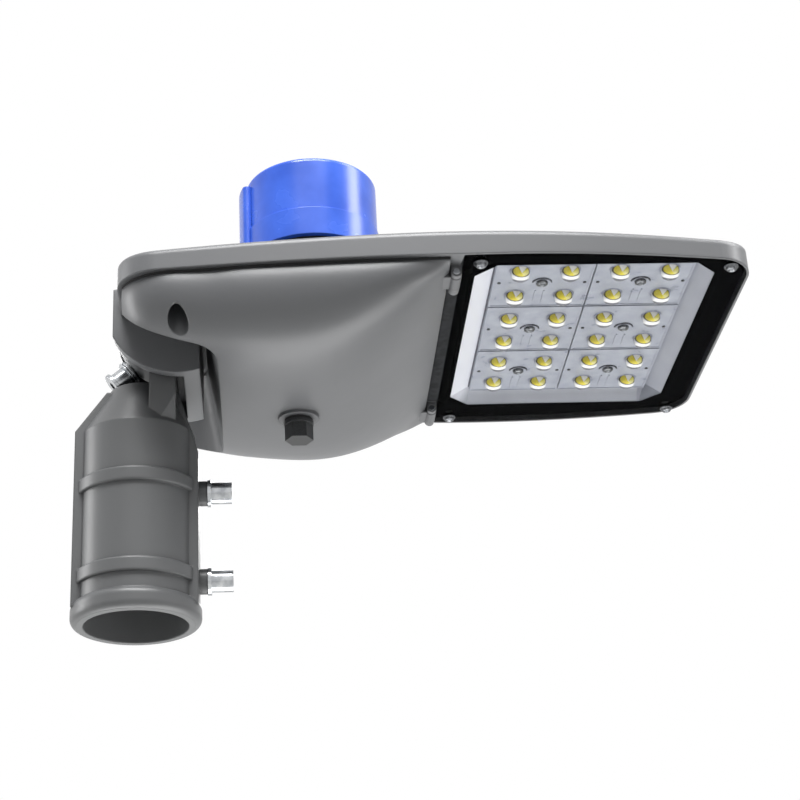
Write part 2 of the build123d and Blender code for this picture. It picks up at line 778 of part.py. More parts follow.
with BuildPart() as gear_cover:
    add(pod_shell.part)
    add(cover_bosses.part)
    with Locations((vent_x, 0, belly_bottom_z - vent_boss_proud)):
        Cylinder(vent_boss_d / 2, vent_boss_proud + cover_wall + vent_boss_rise, align=UP)
        Cylinder(vent_thread_d / 2 + thread_gap, tall / 2, align=UP, mode=Mode.SUBTRACT)
    for side in (-1, 1):
        with BuildSketch(Plane.XZ.offset(-side * hinge_y)):
            with Locations((hinge_x, hinge_z)):
                Circle(hinge_knuckle_r)
            with Locations((hinge_x, cover_top_z)):
                Rectangle(hinge_arm, hinge_arm_thick, align=(Align.MAX, Align.MAX))
            with Locations((hinge_x, hinge_z)):
                Circle(hinge_pin_d / 2 + thread_gap, mode=Mode.SUBTRACT)
        extrude(amount=hinge_knuckle_len / 2, both=True)
        with Locations((cover_screw_x, side * cover_screw_y, counterbore_z)):
            Cylinder(counterbore_d / 2, tall, align=DOWN, mode=Mode.SUBTRACT)
            Cylinder(cover_screw_d / 2 + thread_gap, tall, align=UP, mode=Mode.SUBTRACT)
gear_cover.part.label = "gear_cover"
export_step(gear_cover.part, "parts/gear_cover.step")

with BuildPart() as cover_gasket:
    upward = pod_shell.faces().filter_by(GeomType.PLANE).filter_by(lambda face: face.normal_at().Z > 0.9)
    rim_face = upward.sort_by(SortBy.AREA)[-1]
    extrude(rim_face, amount=cover_gap - thread_gap)
    extrude(rim_face, amount=gasket_crush, mode=Mode.SUBTRACT)
cover_gasket.part.label = "cover_gasket"
export_step(cover_gasket.part, "parts/cover_gasket.step")

with BuildPart() as hinge_pins:
    for side in (-1, 1):
        with BuildSketch(Plane.XZ.offset(-side * hinge_y)):
            with Locations((hinge_x, hinge_z)):
                Circle(hinge_pin_d / 2)
        extrude(amount=hinge_pin_len / 2, both=True)
hinge_pins.part.label = "hinge_pins"
export_step(hinge_pins.part, "parts/hinge_pins.step")

with BuildPart() as cover_screws:
    for side in (-1, 1):
        seat = facing_down(cover_screw_x, side * cover_screw_y, counterbore_z)
        shank_len = parting_at(cover_screw_x) + cover_screw_grip - counterbore_z
        add(pan_screw(seat, cover_screw_d, shank_len, cover_screw_head_d, cover_screw_head))
cover_screws.part.label = "cover_screws"
export_step(cover_screws.part, "parts/cover_screws.step")

# Breather plug in the belly, sealed under its head and held by a nut inside
with BuildPart() as vent_plug:
    with BuildSketch(Plane.XY.offset(vent_face_z - vent_seal_thick)):
        with Locations((vent_x, 0)):
            RegularPolygon(vent_hex / 2, 6, major_radius=False)
    extrude(amount=-vent_head)
    with BuildSketch(Plane.XY.offset(vent_face_z - vent_seal_thick)):
        with Locations((vent_x, 0)):
            Circle(vent_flange_d / 2)
    extrude(amount=-bolt_flange_thick)
    with BuildSketch(Plane.XY.offset(vent_face_z - vent_seal_thick)):
        with Locations((vent_x, 0)):
            Circle(vent_thread_d / 2)
    extrude(amount=vent_thread_len)
vent_plug.part.label = "vent_plug"
export_step(vent_plug.part, "parts/vent_plug.step")

with BuildPart() as vent_plug_seal:
    with BuildSketch(Plane.XY.offset(vent_face_z)):
        with Locations((vent_x, 0)):
            Circle(vent_flange_d / 2 - running_gap)
            Circle(vent_thread_d / 2, mode=Mode.SUBTRACT)
    extrude(amount=-vent_seal_thick)
vent_plug_seal.part.label = "vent_plug_seal"
export_step(vent_plug_seal.part, "parts/vent_plug_seal.step")

with BuildPart() as vent_plug_nut:
    with BuildSketch(Plane.XY.offset(vent_nut_z)):
        with Locations((vent_x, 0)):
            RegularPolygon(vent_nut_hex / 2, 6, major_radius=False)
            Circle(vent_thread_d / 2, mode=Mode.SUBTRACT)
    extrude(amount=vent_nut_thick)
vent_plug_nut.part.label = "vent_plug_nut"
export_step(vent_plug_nut.part, "parts/vent_plug_nut.step")

# Glass with its printed border, gasket and four screws
with BuildPart() as glass_pane:
    extrude(head_outline(glass_edge_wall + glass_edge_gap, glass_bottom_z), amount=glass_thick)
    with Locations((glass_rear_x + glass_edge_gap, 0, parting_z)):
        Box(2 * tip_x, 4 * head_half_width, 4 * tall, align=(Align.MIN, Align.CENTER, Align.CENTER),
            mode=Mode.INTERSECT)
    for x, y in glass_screw_places:
        with Locations((x, y, glass_bottom_z)):
            Cylinder(glass_screw_d / 2 + running_gap, glass_thick, align=UP, mode=Mode.SUBTRACT)
glass_pane.part.label = "glass_pane"
export_step(glass_pane.part, "parts/glass_pane.step")

with BuildPart() as glass_frit_border:
    extrude(head_outline(glass_edge_wall + 2 * glass_edge_gap, glass_top_z), amount=frit_thick)
    with Locations((glass_rear_x + 2 * glass_edge_gap, 0, parting_z)):
        Box(2 * tip_x, 4 * head_half_width, 4 * tall, align=(Align.MIN, Align.CENTER, Align.CENTER),
            mode=Mode.INTERSECT)
    extrude(window_sketch(0, glass_top_z), amount=frit_thick, mode=Mode.SUBTRACT)
    for x, y in glass_screw_places:
        with Locations((x, y, glass_top_z)):
            Cylinder(glass_screw_d / 2 + running_gap, frit_thick, align=UP, mode=Mode.SUBTRACT)
glass_frit_border.part.label = "glass_frit_border"
export_step(glass_frit_border.part, "parts/glass_frit_border.step")

with BuildPart() as glass_gasket:
    gasket_z = glass_top_z + frit_thick
    extrude(window_sketch(chamber_margin + glass_gasket_width, gasket_z), amount=glass_gasket_thick)
    extrude(window_sketch(chamber_margin + glass_edge_gap, gasket_z), amount=glass_gasket_thick,
            mode=Mode.SUBTRACT)
glass_gasket.part.label = "glass_gasket"
export_step(glass_gasket.part, "parts/glass_gasket.step")

with BuildPart() as glass_screws:
    for x, y in glass_screw_places:
        shank_len = chamber_ledge_z + screw_grip - thread_spare - glass_bottom_z
        add(pan_screw(facing_down(x, y, glass_bottom_z), glass_screw_d, shank_len, glass_screw_head_d,
                      glass_screw_head))
glass_screws.part.label = "glass_screws"
export_step(glass_screws.part, "parts/glass_screws.step")

# LED board, chips and the six lens modules
with BuildPart() as led_board:
    extrude(board_outline(0, board_top_z), amount=-board_thick)
    with Locations((led_center_x, 0, board_top_z)):
        with GridLocations(2 * led_pitch, 2 * led_pitch, 2, 3):
            Cylinder(module_screw_d / 2 + thread_gap, board_thick, align=DOWN, mode=Mode.SUBTRACT)
led_board.part.label = "led_board"
export_step(led_board.part, "parts/led_board.step")

with BuildPart() as led_chips:
    with BuildSketch(Plane.XY.offset(board_top_z - board_thick)):
        with Locations((led_center_x, 0)):
            with GridLocations(led_pitch, led_pitch, 4, 6):
                Rectangle(chip_size, chip_size)
    extrude(amount=-chip_thick)
led_chips.part.label = "led_chips"
export_step(led_chips.part, "parts/led_chips.step")

with BuildPart() as lens_module_1:
    add(lens_module(-1, -1))
lens_module_1.part.label = "lens_module_1"
export_step(lens_module_1.part, "parts/lens_module_1.step")

with BuildPart() as lens_module_2:
    add(lens_module(1, -1))
lens_module_2.part.label = "lens_module_2"
export_step(lens_module_2.part, "parts/lens_module_2.step")

with BuildPart() as lens_module_3:
    add(lens_module(-1, 0))
lens_module_3.part.label = "lens_module_3"
export_step(lens_module_3.part, "parts/lens_module_3.step")

with BuildPart() as lens_module_4:
    add(lens_module(1, 0))
lens_module_4.part.label = "lens_module_4"
export_step(lens_module_4.part, "parts/lens_module_4.step")

with BuildPart() as lens_module_5:
    add(lens_module(-1, 1))
lens_module_5.part.label = "lens_module_5"
export_step(lens_module_5.part, "parts/lens_module_5.step")

with BuildPart() as lens_module_6:
    add(lens_module(1, 1))
lens_module_6.part.label = "lens_module_6"
export_step(lens_module_6.part, "parts/lens_module_6.step")

with BuildPart() as lens_screws:
    for column in (-1, 1):
        for row in (-1, 0, 1):
            x = led_center_x + column * led_pitch
            seat = facing_down(x, 2 * row * led_pitch, lens_back_z - lens_plate)
            shank_len = board_top_z - lens_back_z + lens_plate + module_grip - running_gap
            add(pan_screw(seat, module_screw_d, shank_len, module_screw_head_d, module_screw_head))
lens_screws.part.label = "lens_screws"
export_step(lens_screws.part, "parts/lens_screws.step")

with BuildPart() as reflector_frame:
    loft([window_sketch(frame_sheet, frame_foot_z), frame_top(frame_sheet)], ruled=True)
    loft([window_sketch(0, frame_foot_z), frame_top(0)], ruled=True, mode=Mode.SUBTRACT)
reflector_frame.part.label = "reflector_frame"
export_step(reflector_frame.part, "parts/reflector_frame.step")

# Gear in the bay
with BuildPart() as driver:
    with Locations((*driver_center, driver_top_z)):
        Box(*driver_size, align=DOWN)
        fillet(driver.edges().filter_by(Axis.Z), gear_corner_r)
        Box(driver_size[0] + 2 * driver_tab, 2 * driver_tab_y + 2 * gear_corner_r, tab_thick, align=DOWN)
    for x, y in driver_tabs:
        with Locations((x, y, driver_top_z)):
            Cylinder(gear_screw_d / 2 + thread_gap, tab_thick, align=DOWN, mode=Mode.SUBTRACT)
driver.part.label = "driver"
export_step(driver.part, "parts/driver.step")

with BuildPart() as driver_screws:
    for x, y in driver_tabs:
        add(gear_screw(x, y, driver_top_z))
driver_screws.part.label = "driver_screws"
export_step(driver_screws.part, "parts/driver_screws.step")

with BuildPart() as terminal_block:
    with Locations((*terminal_center, small_gear_top_z)):
        Box(*terminal_size, align=DOWN)
        with Locations((0, 0, -terminal_size[2])):
            with GridLocations(terminal_pitch, 1, 4, 1):
                Box(terminal_pitch - 2.0, terminal_size[1] / 2, tab_thick, align=UP, mode=Mode.SUBTRACT)
    for x, y in terminal_holes:
        with Locations((x, y, small_gear_top_z)):
            Cylinder(gear_screw_d / 2 + thread_gap, tall, align=DOWN, mode=Mode.SUBTRACT)
        with Locations((x, y, small_gear_top_z - tab_thick)):
            Cylinder(gear_screw_head_d / 2 + running_gap, tall, align=DOWN, mode=Mode.SUBTRACT)
terminal_block.part.label = "terminal_block"
export_step(terminal_block.part, "parts/terminal_block.step")

with BuildPart() as terminal_screws:
    for x, y in terminal_holes:
        add(gear_screw(x, y, small_gear_top_z))
terminal_screws.part.label = "terminal_screws"
export_step(terminal_screws.part, "parts/terminal_screws.step")

with BuildPart() as surge_protector:
    with Locations((*surge_center, small_gear_top_z)):
        Box(*surge_size, align=DOWN)
    fillet(surge_protector.edges().filter_by(Axis.Z), gear_corner_r)
    for x, y in surge_holes:
        with Locations((x, y, small_gear_top_z)):
            Cylinder(gear_screw_d / 2 + thread_gap, tall, align=DOWN, mode=Mode.SUBTRACT)
        with Locations((x, y, small_gear_top_z - tab_thick)):
            Cylinder(gear_screw_head_d / 2 + running_gap, tall, align=DOWN, mode=Mode.SUBTRACT)
surge_protector.part.label = "surge_protector"
export_step(surge_protector.part, "parts/surge_protector.step")

with BuildPart() as surge_screws:
    for x, y in surge_holes:
        add(gear_screw(x, y, small_gear_top_z))
surge_screws.part.label = "surge_screws"
export_step(surge_screws.part, "parts/surge_screws.step")

with BuildPart() as cable_clamp:
    with BuildSketch(Plane.YZ.offset(clamp_center[0] - seat_boss_d / 2)):
        with Locations((clamp_center[1], small_gear_top_z)):
            Rectangle(clamp_span + seat_boss_d, tab_thick, align=(Align.CENTER, Align.MAX))
            Circle(clamp_rise + tab_thick)
            Circle(clamp_rise, mode=Mode.SUBTRACT)
            Rectangle(clamp_span, clamp_span, align=(Align.CENTER, Align.MIN), mode=Mode.SUBTRACT)
    extrude(amount=seat_boss_d)
    for x, y in clamp_holes:
        with Locations((x, y, small_gear_top_z)):
            Cylinder(gear_screw_d / 2 + thread_gap, tab_thick, align=DOWN, mode=Mode.SUBTRACT)
cable_clamp.part.label = "cable_clamp"
export_step(cable_clamp.part, "parts/cable_clamp.step")

with BuildPart() as clamp_screws:
    for x, y in clamp_holes:
        add(gear_screw(x, y, small_gear_top_z))
clamp_screws.part.label = "clamp_screws"
export_step(clamp_screws.part, "parts/clamp_screws.step")

# Socket on the roof for the photocell
with BuildPart() as socket_gasket:
    with BuildSketch(Plane.XY.offset(socket_pad_z)):
        with Locations((photocell_x, 0)):
            Circle(socket_flange_r)
            Circle(socket_bore_r, mode=Mode.SUBTRACT)
            with PolarLocations(socket_screw_ring_r, 3):
                Circle(gear_screw_d / 2 + thread_gap, mode=Mode.SUBTRACT)
    extrude(amount=socket_gasket_thick)
socket_gasket.part.label = "socket_gasket"
export_step(socket_gasket.part, "parts/socket_gasket.step")

with BuildPart() as photocell_socket:
    with Locations((photocell_x, 0, socket_pad_z + socket_gasket_thick)):
        Cylinder(socket_flange_r, socket_flange_thick, align=UP)
        Cylinder(socket_body_r, socket_top_z - socket_pad_z - socket_gasket_thick, align=UP)
        Cylinder(socket_bore_r - 2 * running_gap, socket_tail, align=DOWN)
        with PolarLocations(socket_screw_ring_r, 3):
            Cylinder(gear_screw_d / 2 + thread_gap, tall, mode=Mode.SUBTRACT)
    for start in contact_starts:
        end = start + contact_arc_deg + twist_deg
        slot = ring_arc(contact_r - contact_slot / 2, contact_r + contact_slot / 2,
                        start - contact_spare_deg, end + contact_spare_deg, socket_top_z)
        extrude(slot, amount=-contact_depth, mode=Mode.SUBTRACT)
photocell_socket.part.label = "photocell_socket"
export_step(photocell_socket.part, "parts/photocell_socket.step")

with BuildPart() as socket_screws:
    for turn in (0, 120, 240):
        seat = Plane(origin=(photocell_x + socket_screw_ring_r * cos(radians(turn)),
                             socket_screw_ring_r * sin(radians(turn)),
                             socket_pad_z + socket_gasket_thick + socket_flange_thick))
        shank_len = socket_flange_thick + socket_gasket_thick + screw_grip - thread_spare
        add(pan_screw(seat, gear_screw_d, shank_len, gear_screw_head_d, gear_screw_head))
socket_screws.part.label = "socket_screws"
export_step(socket_screws.part, "parts/socket_screws.step")

# Photocell that twists into the socket
with BuildPart() as photocell_cap:
    with BuildSketch(Plane.XY.offset(photocell_bottom_z)):
        with Locations((photocell_x, 0)):
            Circle(photocell_r)
    extrude(amount=photocell_top_z - photocell_bottom_z)
    fillet(photocell_cap.edges().sort_by(Axis.Z)[-1], photocell_round)
    with BuildSketch(Plane.XY.offset(photocell_bottom_z)):
        with Locations((photocell_x, 0)):
            Circle(photocell_r + skirt_proud)
    extrude(amount=photocell_seam_z - photocell_bottom_z)
    with Locations((photocell_x, 0, photocell_bottom_z)):
        Cylinder(photocell_r - photocell_wall, photocell_base_thick, align=UP, mode=Mode.SUBTRACT)
        Cylinder(photocell_r - 1.5 * photocell_wall, photocell_top_z - photocell_bottom_z - photocell_wall,
                 align=UP, mode=Mode.SUBTRACT)
photocell_cap.part.label = "photocell_cap"
export_step(photocell_cap.part, "parts/photocell_cap.step")

with BuildPart() as photocell_window:
    extrude(ring_arc(photocell_r, photocell_r + sensor_proud, 180 - sensor_half_deg, 180 + sensor_half_deg,
                     sensor_bottom_z), amount=sensor_top_z - sensor_bottom_z)
    fillet(photocell_window.edges().filter_by(Axis.Z).group_by(Axis.X)[0], photocell_round)
    with Locations((photocell_x, 0, photocell_bottom_z)):
        Cylinder(photocell_r + skirt_proud, photocell_seam_z - photocell_bottom_z, align=UP,
                 mode=Mode.SUBTRACT)
photocell_window.part.label = "photocell_window"
export_step(photocell_window.part, "parts/photocell_window.step")

with BuildPart() as photocell_base:
    with BuildSketch(Plane.XY.offset(photocell_bottom_z)):
        with Locations((photocell_x, 0)):
            Circle(photocell_r - photocell_wall - thread_gap)
    extrude(amount=photocell_base_thick)
photocell_base.part.label = "photocell_base"
export_step(photocell_base.part, "parts/photocell_base.step")

with BuildPart() as photocell_contacts:
    for start in contact_starts:
        extrude(ring_arc(contact_r - contact_thick / 2, contact_r + contact_thick / 2, start,
                         start + contact_arc_deg, photocell_bottom_z), amount=-contact_depth)
photocell_contacts.part.label = "photocell_contacts"
export_step(photocell_contacts.part, "parts/photocell_contacts.step")

with BuildPart() as photocell_gasket:
    with BuildSketch(Plane.XY.offset(photocell_bottom_z)):
        with Locations((photocell_x, 0)):
            Circle(socket_body_r)
            Circle(socket_bore_r, mode=Mode.SUBTRACT)
    extrude(amount=gasket_crush - photocell_gasket_thick)
photocell_gasket.part.label = "photocell_gasket"
export_step(photocell_gasket.part, "parts/photocell_gasket.step")
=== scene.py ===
# %% [markdown]
# A street-light head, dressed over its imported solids. The head looks down from a pole, so the
# camera stands low and looks up at the glass, the belly of the gear cover and the open spigot.
# Every piece sits at the origin with its place in its mesh, in metres, +Z up the pole and +X to
# the tip, so a size from the drawing can be used as it is.

# %% Load the solids and keep their box
from math import cos, pi, radians, sin

import bmesh
import bpy
from mathutils import Matrix, Vector


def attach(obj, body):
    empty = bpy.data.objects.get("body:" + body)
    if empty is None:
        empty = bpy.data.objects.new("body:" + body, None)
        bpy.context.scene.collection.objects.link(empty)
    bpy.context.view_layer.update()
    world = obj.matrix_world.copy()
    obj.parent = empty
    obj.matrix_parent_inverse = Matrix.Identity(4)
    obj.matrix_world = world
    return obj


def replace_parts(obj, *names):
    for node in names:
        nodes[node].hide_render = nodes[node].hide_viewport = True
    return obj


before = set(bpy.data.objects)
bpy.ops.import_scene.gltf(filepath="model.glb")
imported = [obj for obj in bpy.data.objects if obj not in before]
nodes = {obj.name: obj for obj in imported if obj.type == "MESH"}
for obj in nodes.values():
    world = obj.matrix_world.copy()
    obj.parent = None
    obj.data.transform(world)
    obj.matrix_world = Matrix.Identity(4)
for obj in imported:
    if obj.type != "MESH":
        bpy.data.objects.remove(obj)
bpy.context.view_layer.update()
scene = bpy.context.scene

# %% [markdown]
# Colours are chosen as screen values, the way a paint chart gives them, but a renderer adds light
# and needs linear values. One function turns the first into the second. A second small function
# adds a node to a tree, sets its inputs and properties, and links whatever feeds it, so that a
# finish reads as a short list of what it is made of.

# %% Two helpers for all finishes
MM = 0.001


def linear(hex_colour):
    """Linear RGBA from an sRGB hex value."""
    channels = [int(hex_colour[i:i + 2], 16) / 255 for i in (1, 3, 5)]
    return [c / 12.92 if c <= 0.04045 else ((c + 0.055) / 1.055) ** 2.4 for c in channels] + [1.0]


def put(tree, kind, inputs=None, **settings):
    """Add a node; an input's value may be a socket, which is linked, or a plain value."""
    node = tree.nodes.new(kind)
    for name, value in settings.items():
        setattr(node, name, value)
    for key, value in (inputs or {}).items():
        if isinstance(value, bpy.types.NodeSocket):
            tree.links.new(value, node.inputs[key])
        else:
            node.inputs[key].default_value = value
    return node


print("mid grey", linear("#777777")[0])

# %% [markdown]
# The photograph looks up at the head from about a metre away, a little left of the middle. The
# camera's place and turn were worked out from the spacing of the light points, the rim and the
# spigot. The lens is long, so the lines of the head close in only slightly.

# %% Camera
camera_place = Vector((0.0745, -1.0040, -0.3295))
yaw, pitch, roll = radians(4.85), radians(25.05), radians(-3.16)
ahead = Vector((sin(yaw) * cos(pitch), cos(yaw) * cos(pitch), sin(pitch)))
level_right = Vector((cos(yaw), -sin(yaw), 0))
level_up = level_right.cross(ahead)
right = cos(roll) * level_right + sin(roll) * level_up
up = cos(roll) * level_up - sin(roll) * level_right
camera = bpy.data.objects.new("camera", bpy.data.cameras.new("camera"))
camera.data.lens = 81.18
camera.data.sensor_width = 36.0
camera.data.clip_start = 0.01
camera.matrix_world = Matrix((
    (right.x, up.x, -ahead.x, camera_place.x),
    (right.y, up.y, -ahead.y, camera_place.y),
    (right.z, up.z, -ahead.z, camera_place.z),
    (0, 0, 0, 1)))
scene.collection.objects.link(camera)
scene.camera = camera
print("camera looks along", [round(v, 3) for v in ahead])

# %% [markdown]
# The light is that of a white product studio: a pale room that everything bright reflects, a soft
# lamp in front for the rim and the photocell, a broad one underneath for what looks down, narrow
# strips on both sides that draw the bright edges of the spigot, and one behind. What the camera,
# mirrors and clear pieces see of the room is plain white, and so is most of what they see of the
# floor, which keeps a faint shadow.

# %% White room


def seen_plainly(tree):
    """Socket that is 1 for what the camera, a mirror or a clear piece sees, and 0 for light."""
    path = put(tree, "ShaderNodeLightPath").outputs
    seen = path["Is Camera Ray"]
    for ray in ("Is Glossy Ray", "Is Transmission Ray"):
        seen = put(tree, "ShaderNodeMath", {0: seen, 1: path[ray]}, operation="MAXIMUM").outputs[0]
    return seen


scene.view_settings.view_transform = "Standard"
world = bpy.data.worlds.new("white_room")
scene.world = world
world.use_nodes = True
room = world.node_tree
room.nodes.clear()
lit = put(room, "ShaderNodeBackground", {"Color": linear("#e9eaec"), "Strength": 0.3})
white = put(room, "ShaderNodeBackground", {"Color": linear("#ffffff"), "Strength": 1.0})
both = put(room, "ShaderNodeMixShader", {0: seen_plainly(room), 1: lit.outputs[0], 2: white.outputs[0]})
put(room, "ShaderNodeOutputWorld", {"Surface": both.outputs[0]})
print("world", world.name)

# %% Lamps
middle = Vector((0.15, 0.0, 0.15))
for name, place, width, height, watts in (
        ("front_softbox", (0.1, -0.95, 1.6), 1.2, 0.8, 58.0),
        ("low_panel", (0.2, 0.12, -0.77), 1.4, 0.9, 15.5),
        ("left_strip", (-1.5, 0.3, 0.3), 0.35, 1.2, 13.0),
        ("right_strip", (1.3, -0.25, 1.2), 0.5, 1.0, 18.0),
        ("back_strip", (0.1, 1.6, 0.9), 1.6, 0.4, 14.0)):
    lamp = bpy.data.objects.new(name, bpy.data.lights.new(name, "AREA"))
    lamp.data.shape = "RECTANGLE"
    lamp.data.size = width
    lamp.data.size_y = height
    lamp.data.energy = watts
    lamp.location = place
    lamp.rotation_euler = (middle - Vector(place)).to_track_quat("-Z", "Y").to_euler()
    scene.collection.objects.link(lamp)

# %% Floor
FLOOR_HALF = 4.0
FLOOR_Z = -0.8
floor_corners = [(x * FLOOR_HALF, y * FLOOR_HALF, FLOOR_Z) for x, y in ((-1, -1), (1, -1), (1, 1), (-1, 1))]
floor_mesh = bpy.data.meshes.new("studio_floor")
floor_mesh.from_pydata(floor_corners, [], [(0, 1, 2, 3)])
floor = bpy.data.objects.new("studio_floor", floor_mesh)
scene.collection.objects.link(floor)
floor_paper = bpy.data.materials.new("pale_studio_paper")
floor_paper.use_nodes = True
paper = floor_paper.node_tree
paper.nodes.clear()
evenly = put(paper, "ShaderNodeMath", {0: seen_plainly(paper), 1: 0.75}, operation="MULTIPLY")
matt = put(paper, "ShaderNodeBsdfDiffuse", {"Color": linear("#e6e6e4")})
bright = put(paper, "ShaderNodeEmission", {"Color": linear("#f4f4f2"), "Strength": 1.0})
both = put(paper, "ShaderNodeMixShader", {0: evenly.outputs[0], 1: matt.outputs[0], 2: bright.outputs[0]})
put(paper, "ShaderNodeOutputMaterial", {"Surface": both.outputs[0]})
floor_mesh.materials.append(floor_paper)
print("floor at", FLOOR_Z)

# %% [markdown]
# Each finish starts from the real material and how its surface was made. The three large castings
# are die-cast aluminium under a polyester powder coat: a satin grey film that has flowed out to a
# fine orange peel, a little uneven in gloss. The film rounds every edge, so a Bevel node softens
# the corners of the solids and catches the thin bright lines that a coated casting shows.

# %% Powder-coated die-cast aluminium


def new_finish(name, base, roughness, metallic=0.0):
    """A material in its mean colour, with its tree, its shader and the piece's own coordinates."""
    material = bpy.data.materials.new(name)
    material.use_nodes = True
    tree = material.node_tree
    tree.nodes.clear()
    shader = put(tree, "ShaderNodeBsdfPrincipled",
                 {"Base Color": linear(base), "Roughness": roughness, "Metallic": metallic})
    put(tree, "ShaderNodeOutputMaterial", {"Surface": shader.outputs[0]})
    coords = put(tree, "ShaderNodeTexCoord").outputs["Object"]
    return material, tree, shader, coords


def two_tone(tree, shader, factor, dark, light, low=0.35, high=0.65):
    """Colour the shader between two hex values as a factor runs from low to high."""
    ramp = put(tree, "ShaderNodeValToRGB", {"Fac": factor})
    for element, place, colour in zip(ramp.color_ramp.elements, (low, high), (dark, light)):
        element.position = place
        element.color = linear(colour)
    tree.links.new(ramp.outputs["Color"], shader.inputs["Base Color"])


def surface_relief(tree, shader, height, depth, strength, edge=0.0):
    """Bump of a given depth in metres over edges that are rounded by a radius, if one is given."""
    skin = put(tree, "ShaderNodeBump", {"Height": height, "Strength": strength, "Distance": depth})
    if edge:
        soft = put(tree, "ShaderNodeBevel", {"Radius": edge}, samples=6)
        tree.links.new(soft.outputs["Normal"], skin.inputs["Normal"])
    tree.links.new(skin.outputs["Normal"], shader.inputs["Normal"])


def uneven_gloss(tree, shader, factor, smooth, rough):
    """Roughness that wanders between two values as a factor runs from 0 to 1."""
    gloss = put(tree, "ShaderNodeMapRange", {"Value": factor, "To Min": smooth, "To Max": rough})
    tree.links.new(gloss.outputs["Result"], shader.inputs["Roughness"])


def dress(material, *names):
    """Put a finish on solids of the drawing."""
    for name in names:
        nodes[name].data.materials.clear()
        nodes[name].data.materials.append(material)
    print(material.name, "on", ", ".join(names))


# Orange peel is about 2 mm from crest to crest; the drift in gloss follows the spray, hand-wide.
# Near a corner an occlusion node darkens the colour, which is painted shade. How far
# that goes, in millimetres, depends on the casting. The cover and the spigot get darker copies of
# the same coat, which is painted shade for the lesser light that falls on them.
PEEL_MM, CLOUD_MM = 2.2, 60
for name, base, shade_tone, full, corner_mm, casting in (
        ("powder_coated_die_cast_aluminium", "#595a5c", "#303133", "#5e5f61", 9, "housing_casting"),
        ("powder_coated_cover_casting", "#515254", "#2c2d2f", "#555658", 30, "gear_cover"),
        ("powder_coated_spigot_casting", "#515254", "#2e2f31", "#575859", 22, "spigot_casting")):
    powder_coat, tree, shader, coords = new_finish(name, base, 0.4)
    peel = put(tree, "ShaderNodeTexNoise", {"Vector": coords, "Scale": 1 / (PEEL_MM * MM), "Detail": 2.0})
    cloud = put(tree, "ShaderNodeTexNoise", {"Vector": coords, "Scale": 1 / (CLOUD_MM * MM), "Detail": 3.0})
    # The occlusion node darkens the colour near corners: painted shade.
    corner_shade = put(tree, "ShaderNodeAmbientOcclusion", {"Distance": corner_mm * MM}, samples=8)
    cloud_and_shade = put(tree, "ShaderNodeMath", {0: cloud.outputs["Fac"], 1: 0.3, 2: corner_shade.outputs["AO"]},
               operation="MULTIPLY_ADD")
    two_tone(tree, shader, cloud_and_shade.outputs[0], shade_tone, full, 0.35, 1.0)
    uneven_gloss(tree, shader, cloud.outputs["Fac"], 0.34, 0.44)
    surface_relief(tree, shader, peel.outputs["Fac"], 0.12 * MM, 0.15, edge=1.4 * MM)
    dress(powder_coat, casting)

# %% [markdown]
# Between the cover and the glass the housing shows only a narrow bar, set back in the joint. The
# bar is painted nearly black, as painted shade of the joint. It is found by its
# place on the casting, so the hinge ears, which stand out of the joint, keep their grey.

# %% Painted shade on the bar in the joint
joint_shade, tree, shader, coords = new_finish("painted_shade_joint", "#1e1f20", 0.8)
shader.inputs["Specular IOR Level"].default_value = 0.1
joint_mottle = put(tree, "ShaderNodeTexNoise", {"Vector": coords, "Scale": 1 / (4 * MM), "Detail": 2.0})
two_tone(tree, shader, joint_mottle.outputs["Fac"], "#191a1b", "#262729")
bar_low = Vector((184.2, -114.7, 176.5)) * MM
bar_high = Vector((191.6, 114.7, 179.5)) * MM
housing_mesh = nodes["housing_casting"].data
housing_mesh.materials.append(joint_shade)
in_bar = [all(low <= at <= high for low, at, high in zip(bar_low, vertex.co, bar_high))
          for vertex in housing_mesh.vertices]
bar_faces = [face for face in housing_mesh.polygons if all(in_bar[index] for index in face.vertices)]
for face in bar_faces:
    face.material_index = len(housing_mesh.materials) - 1
print("bar", round(sum(face.area for face in bar_faces) / MM ** 2), "square mm")

# %% [markdown]
# The bolts, the pins and the screws inside are steel with a bright zinc plate. Plating follows the
# turned surface under it, so very fine rings of the lathe still show as streaks, and the mirror is
# slightly milky. The rings are drawn 0.5 mm apart, coarser than real ones, because finer ones would
# vanish in the picture.

# %% Bright zinc-plated steel
zinc, tree, shader, coords = new_finish("bright_zinc_plated_steel", "#b6b8bb", 0.2, metallic=1.0)
streak = put(tree, "ShaderNodeTexNoise", {"Vector": coords, "Scale": 1 / (0.5 * MM), "Detail": 1.0})
haze = put(tree, "ShaderNodeTexNoise", {"Vector": coords, "Scale": 1 / (6 * MM), "Detail": 2.0})
two_tone(tree, shader, haze.outputs["Fac"], "#a4a7ab", "#c6c8ca")
uneven_gloss(tree, shader, haze.outputs["Fac"], 0.14, 0.26)
surface_relief(tree, shader, streak.outputs["Fac"], 0.02 * MM, 0.3, edge=0.5 * MM)
dress(zinc, "set_bolts", "tilt_bolt", "tilt_washers", "hinge_pins", "cover_screws", "driver_screws",
      "terminal_screws", "surge_screws", "clamp_screws", "socket_screws")

# %% [markdown]
# The small screws of the glass and the lens plates are stainless steel, passivated after they were
# rolled: a darker, greyer metal than zinc, with a soft shine.

# %% Passivated stainless steel
stainless, tree, shader, coords = new_finish("passivated_stainless_steel", "#6d6f72", 0.3, metallic=1.0)
dull = put(tree, "ShaderNodeTexNoise", {"Vector": coords, "Scale": 1 / (1.5 * MM), "Detail": 2.0})
two_tone(tree, shader, dull.outputs["Fac"], "#55575a", "#86888b")
uneven_gloss(tree, shader, dull.outputs["Fac"], 0.22, 0.4)
surface_relief(tree, shader, dull.outputs["Fac"], 0.03 * MM, 0.3)
print(stainless.name, "waits for the screws")

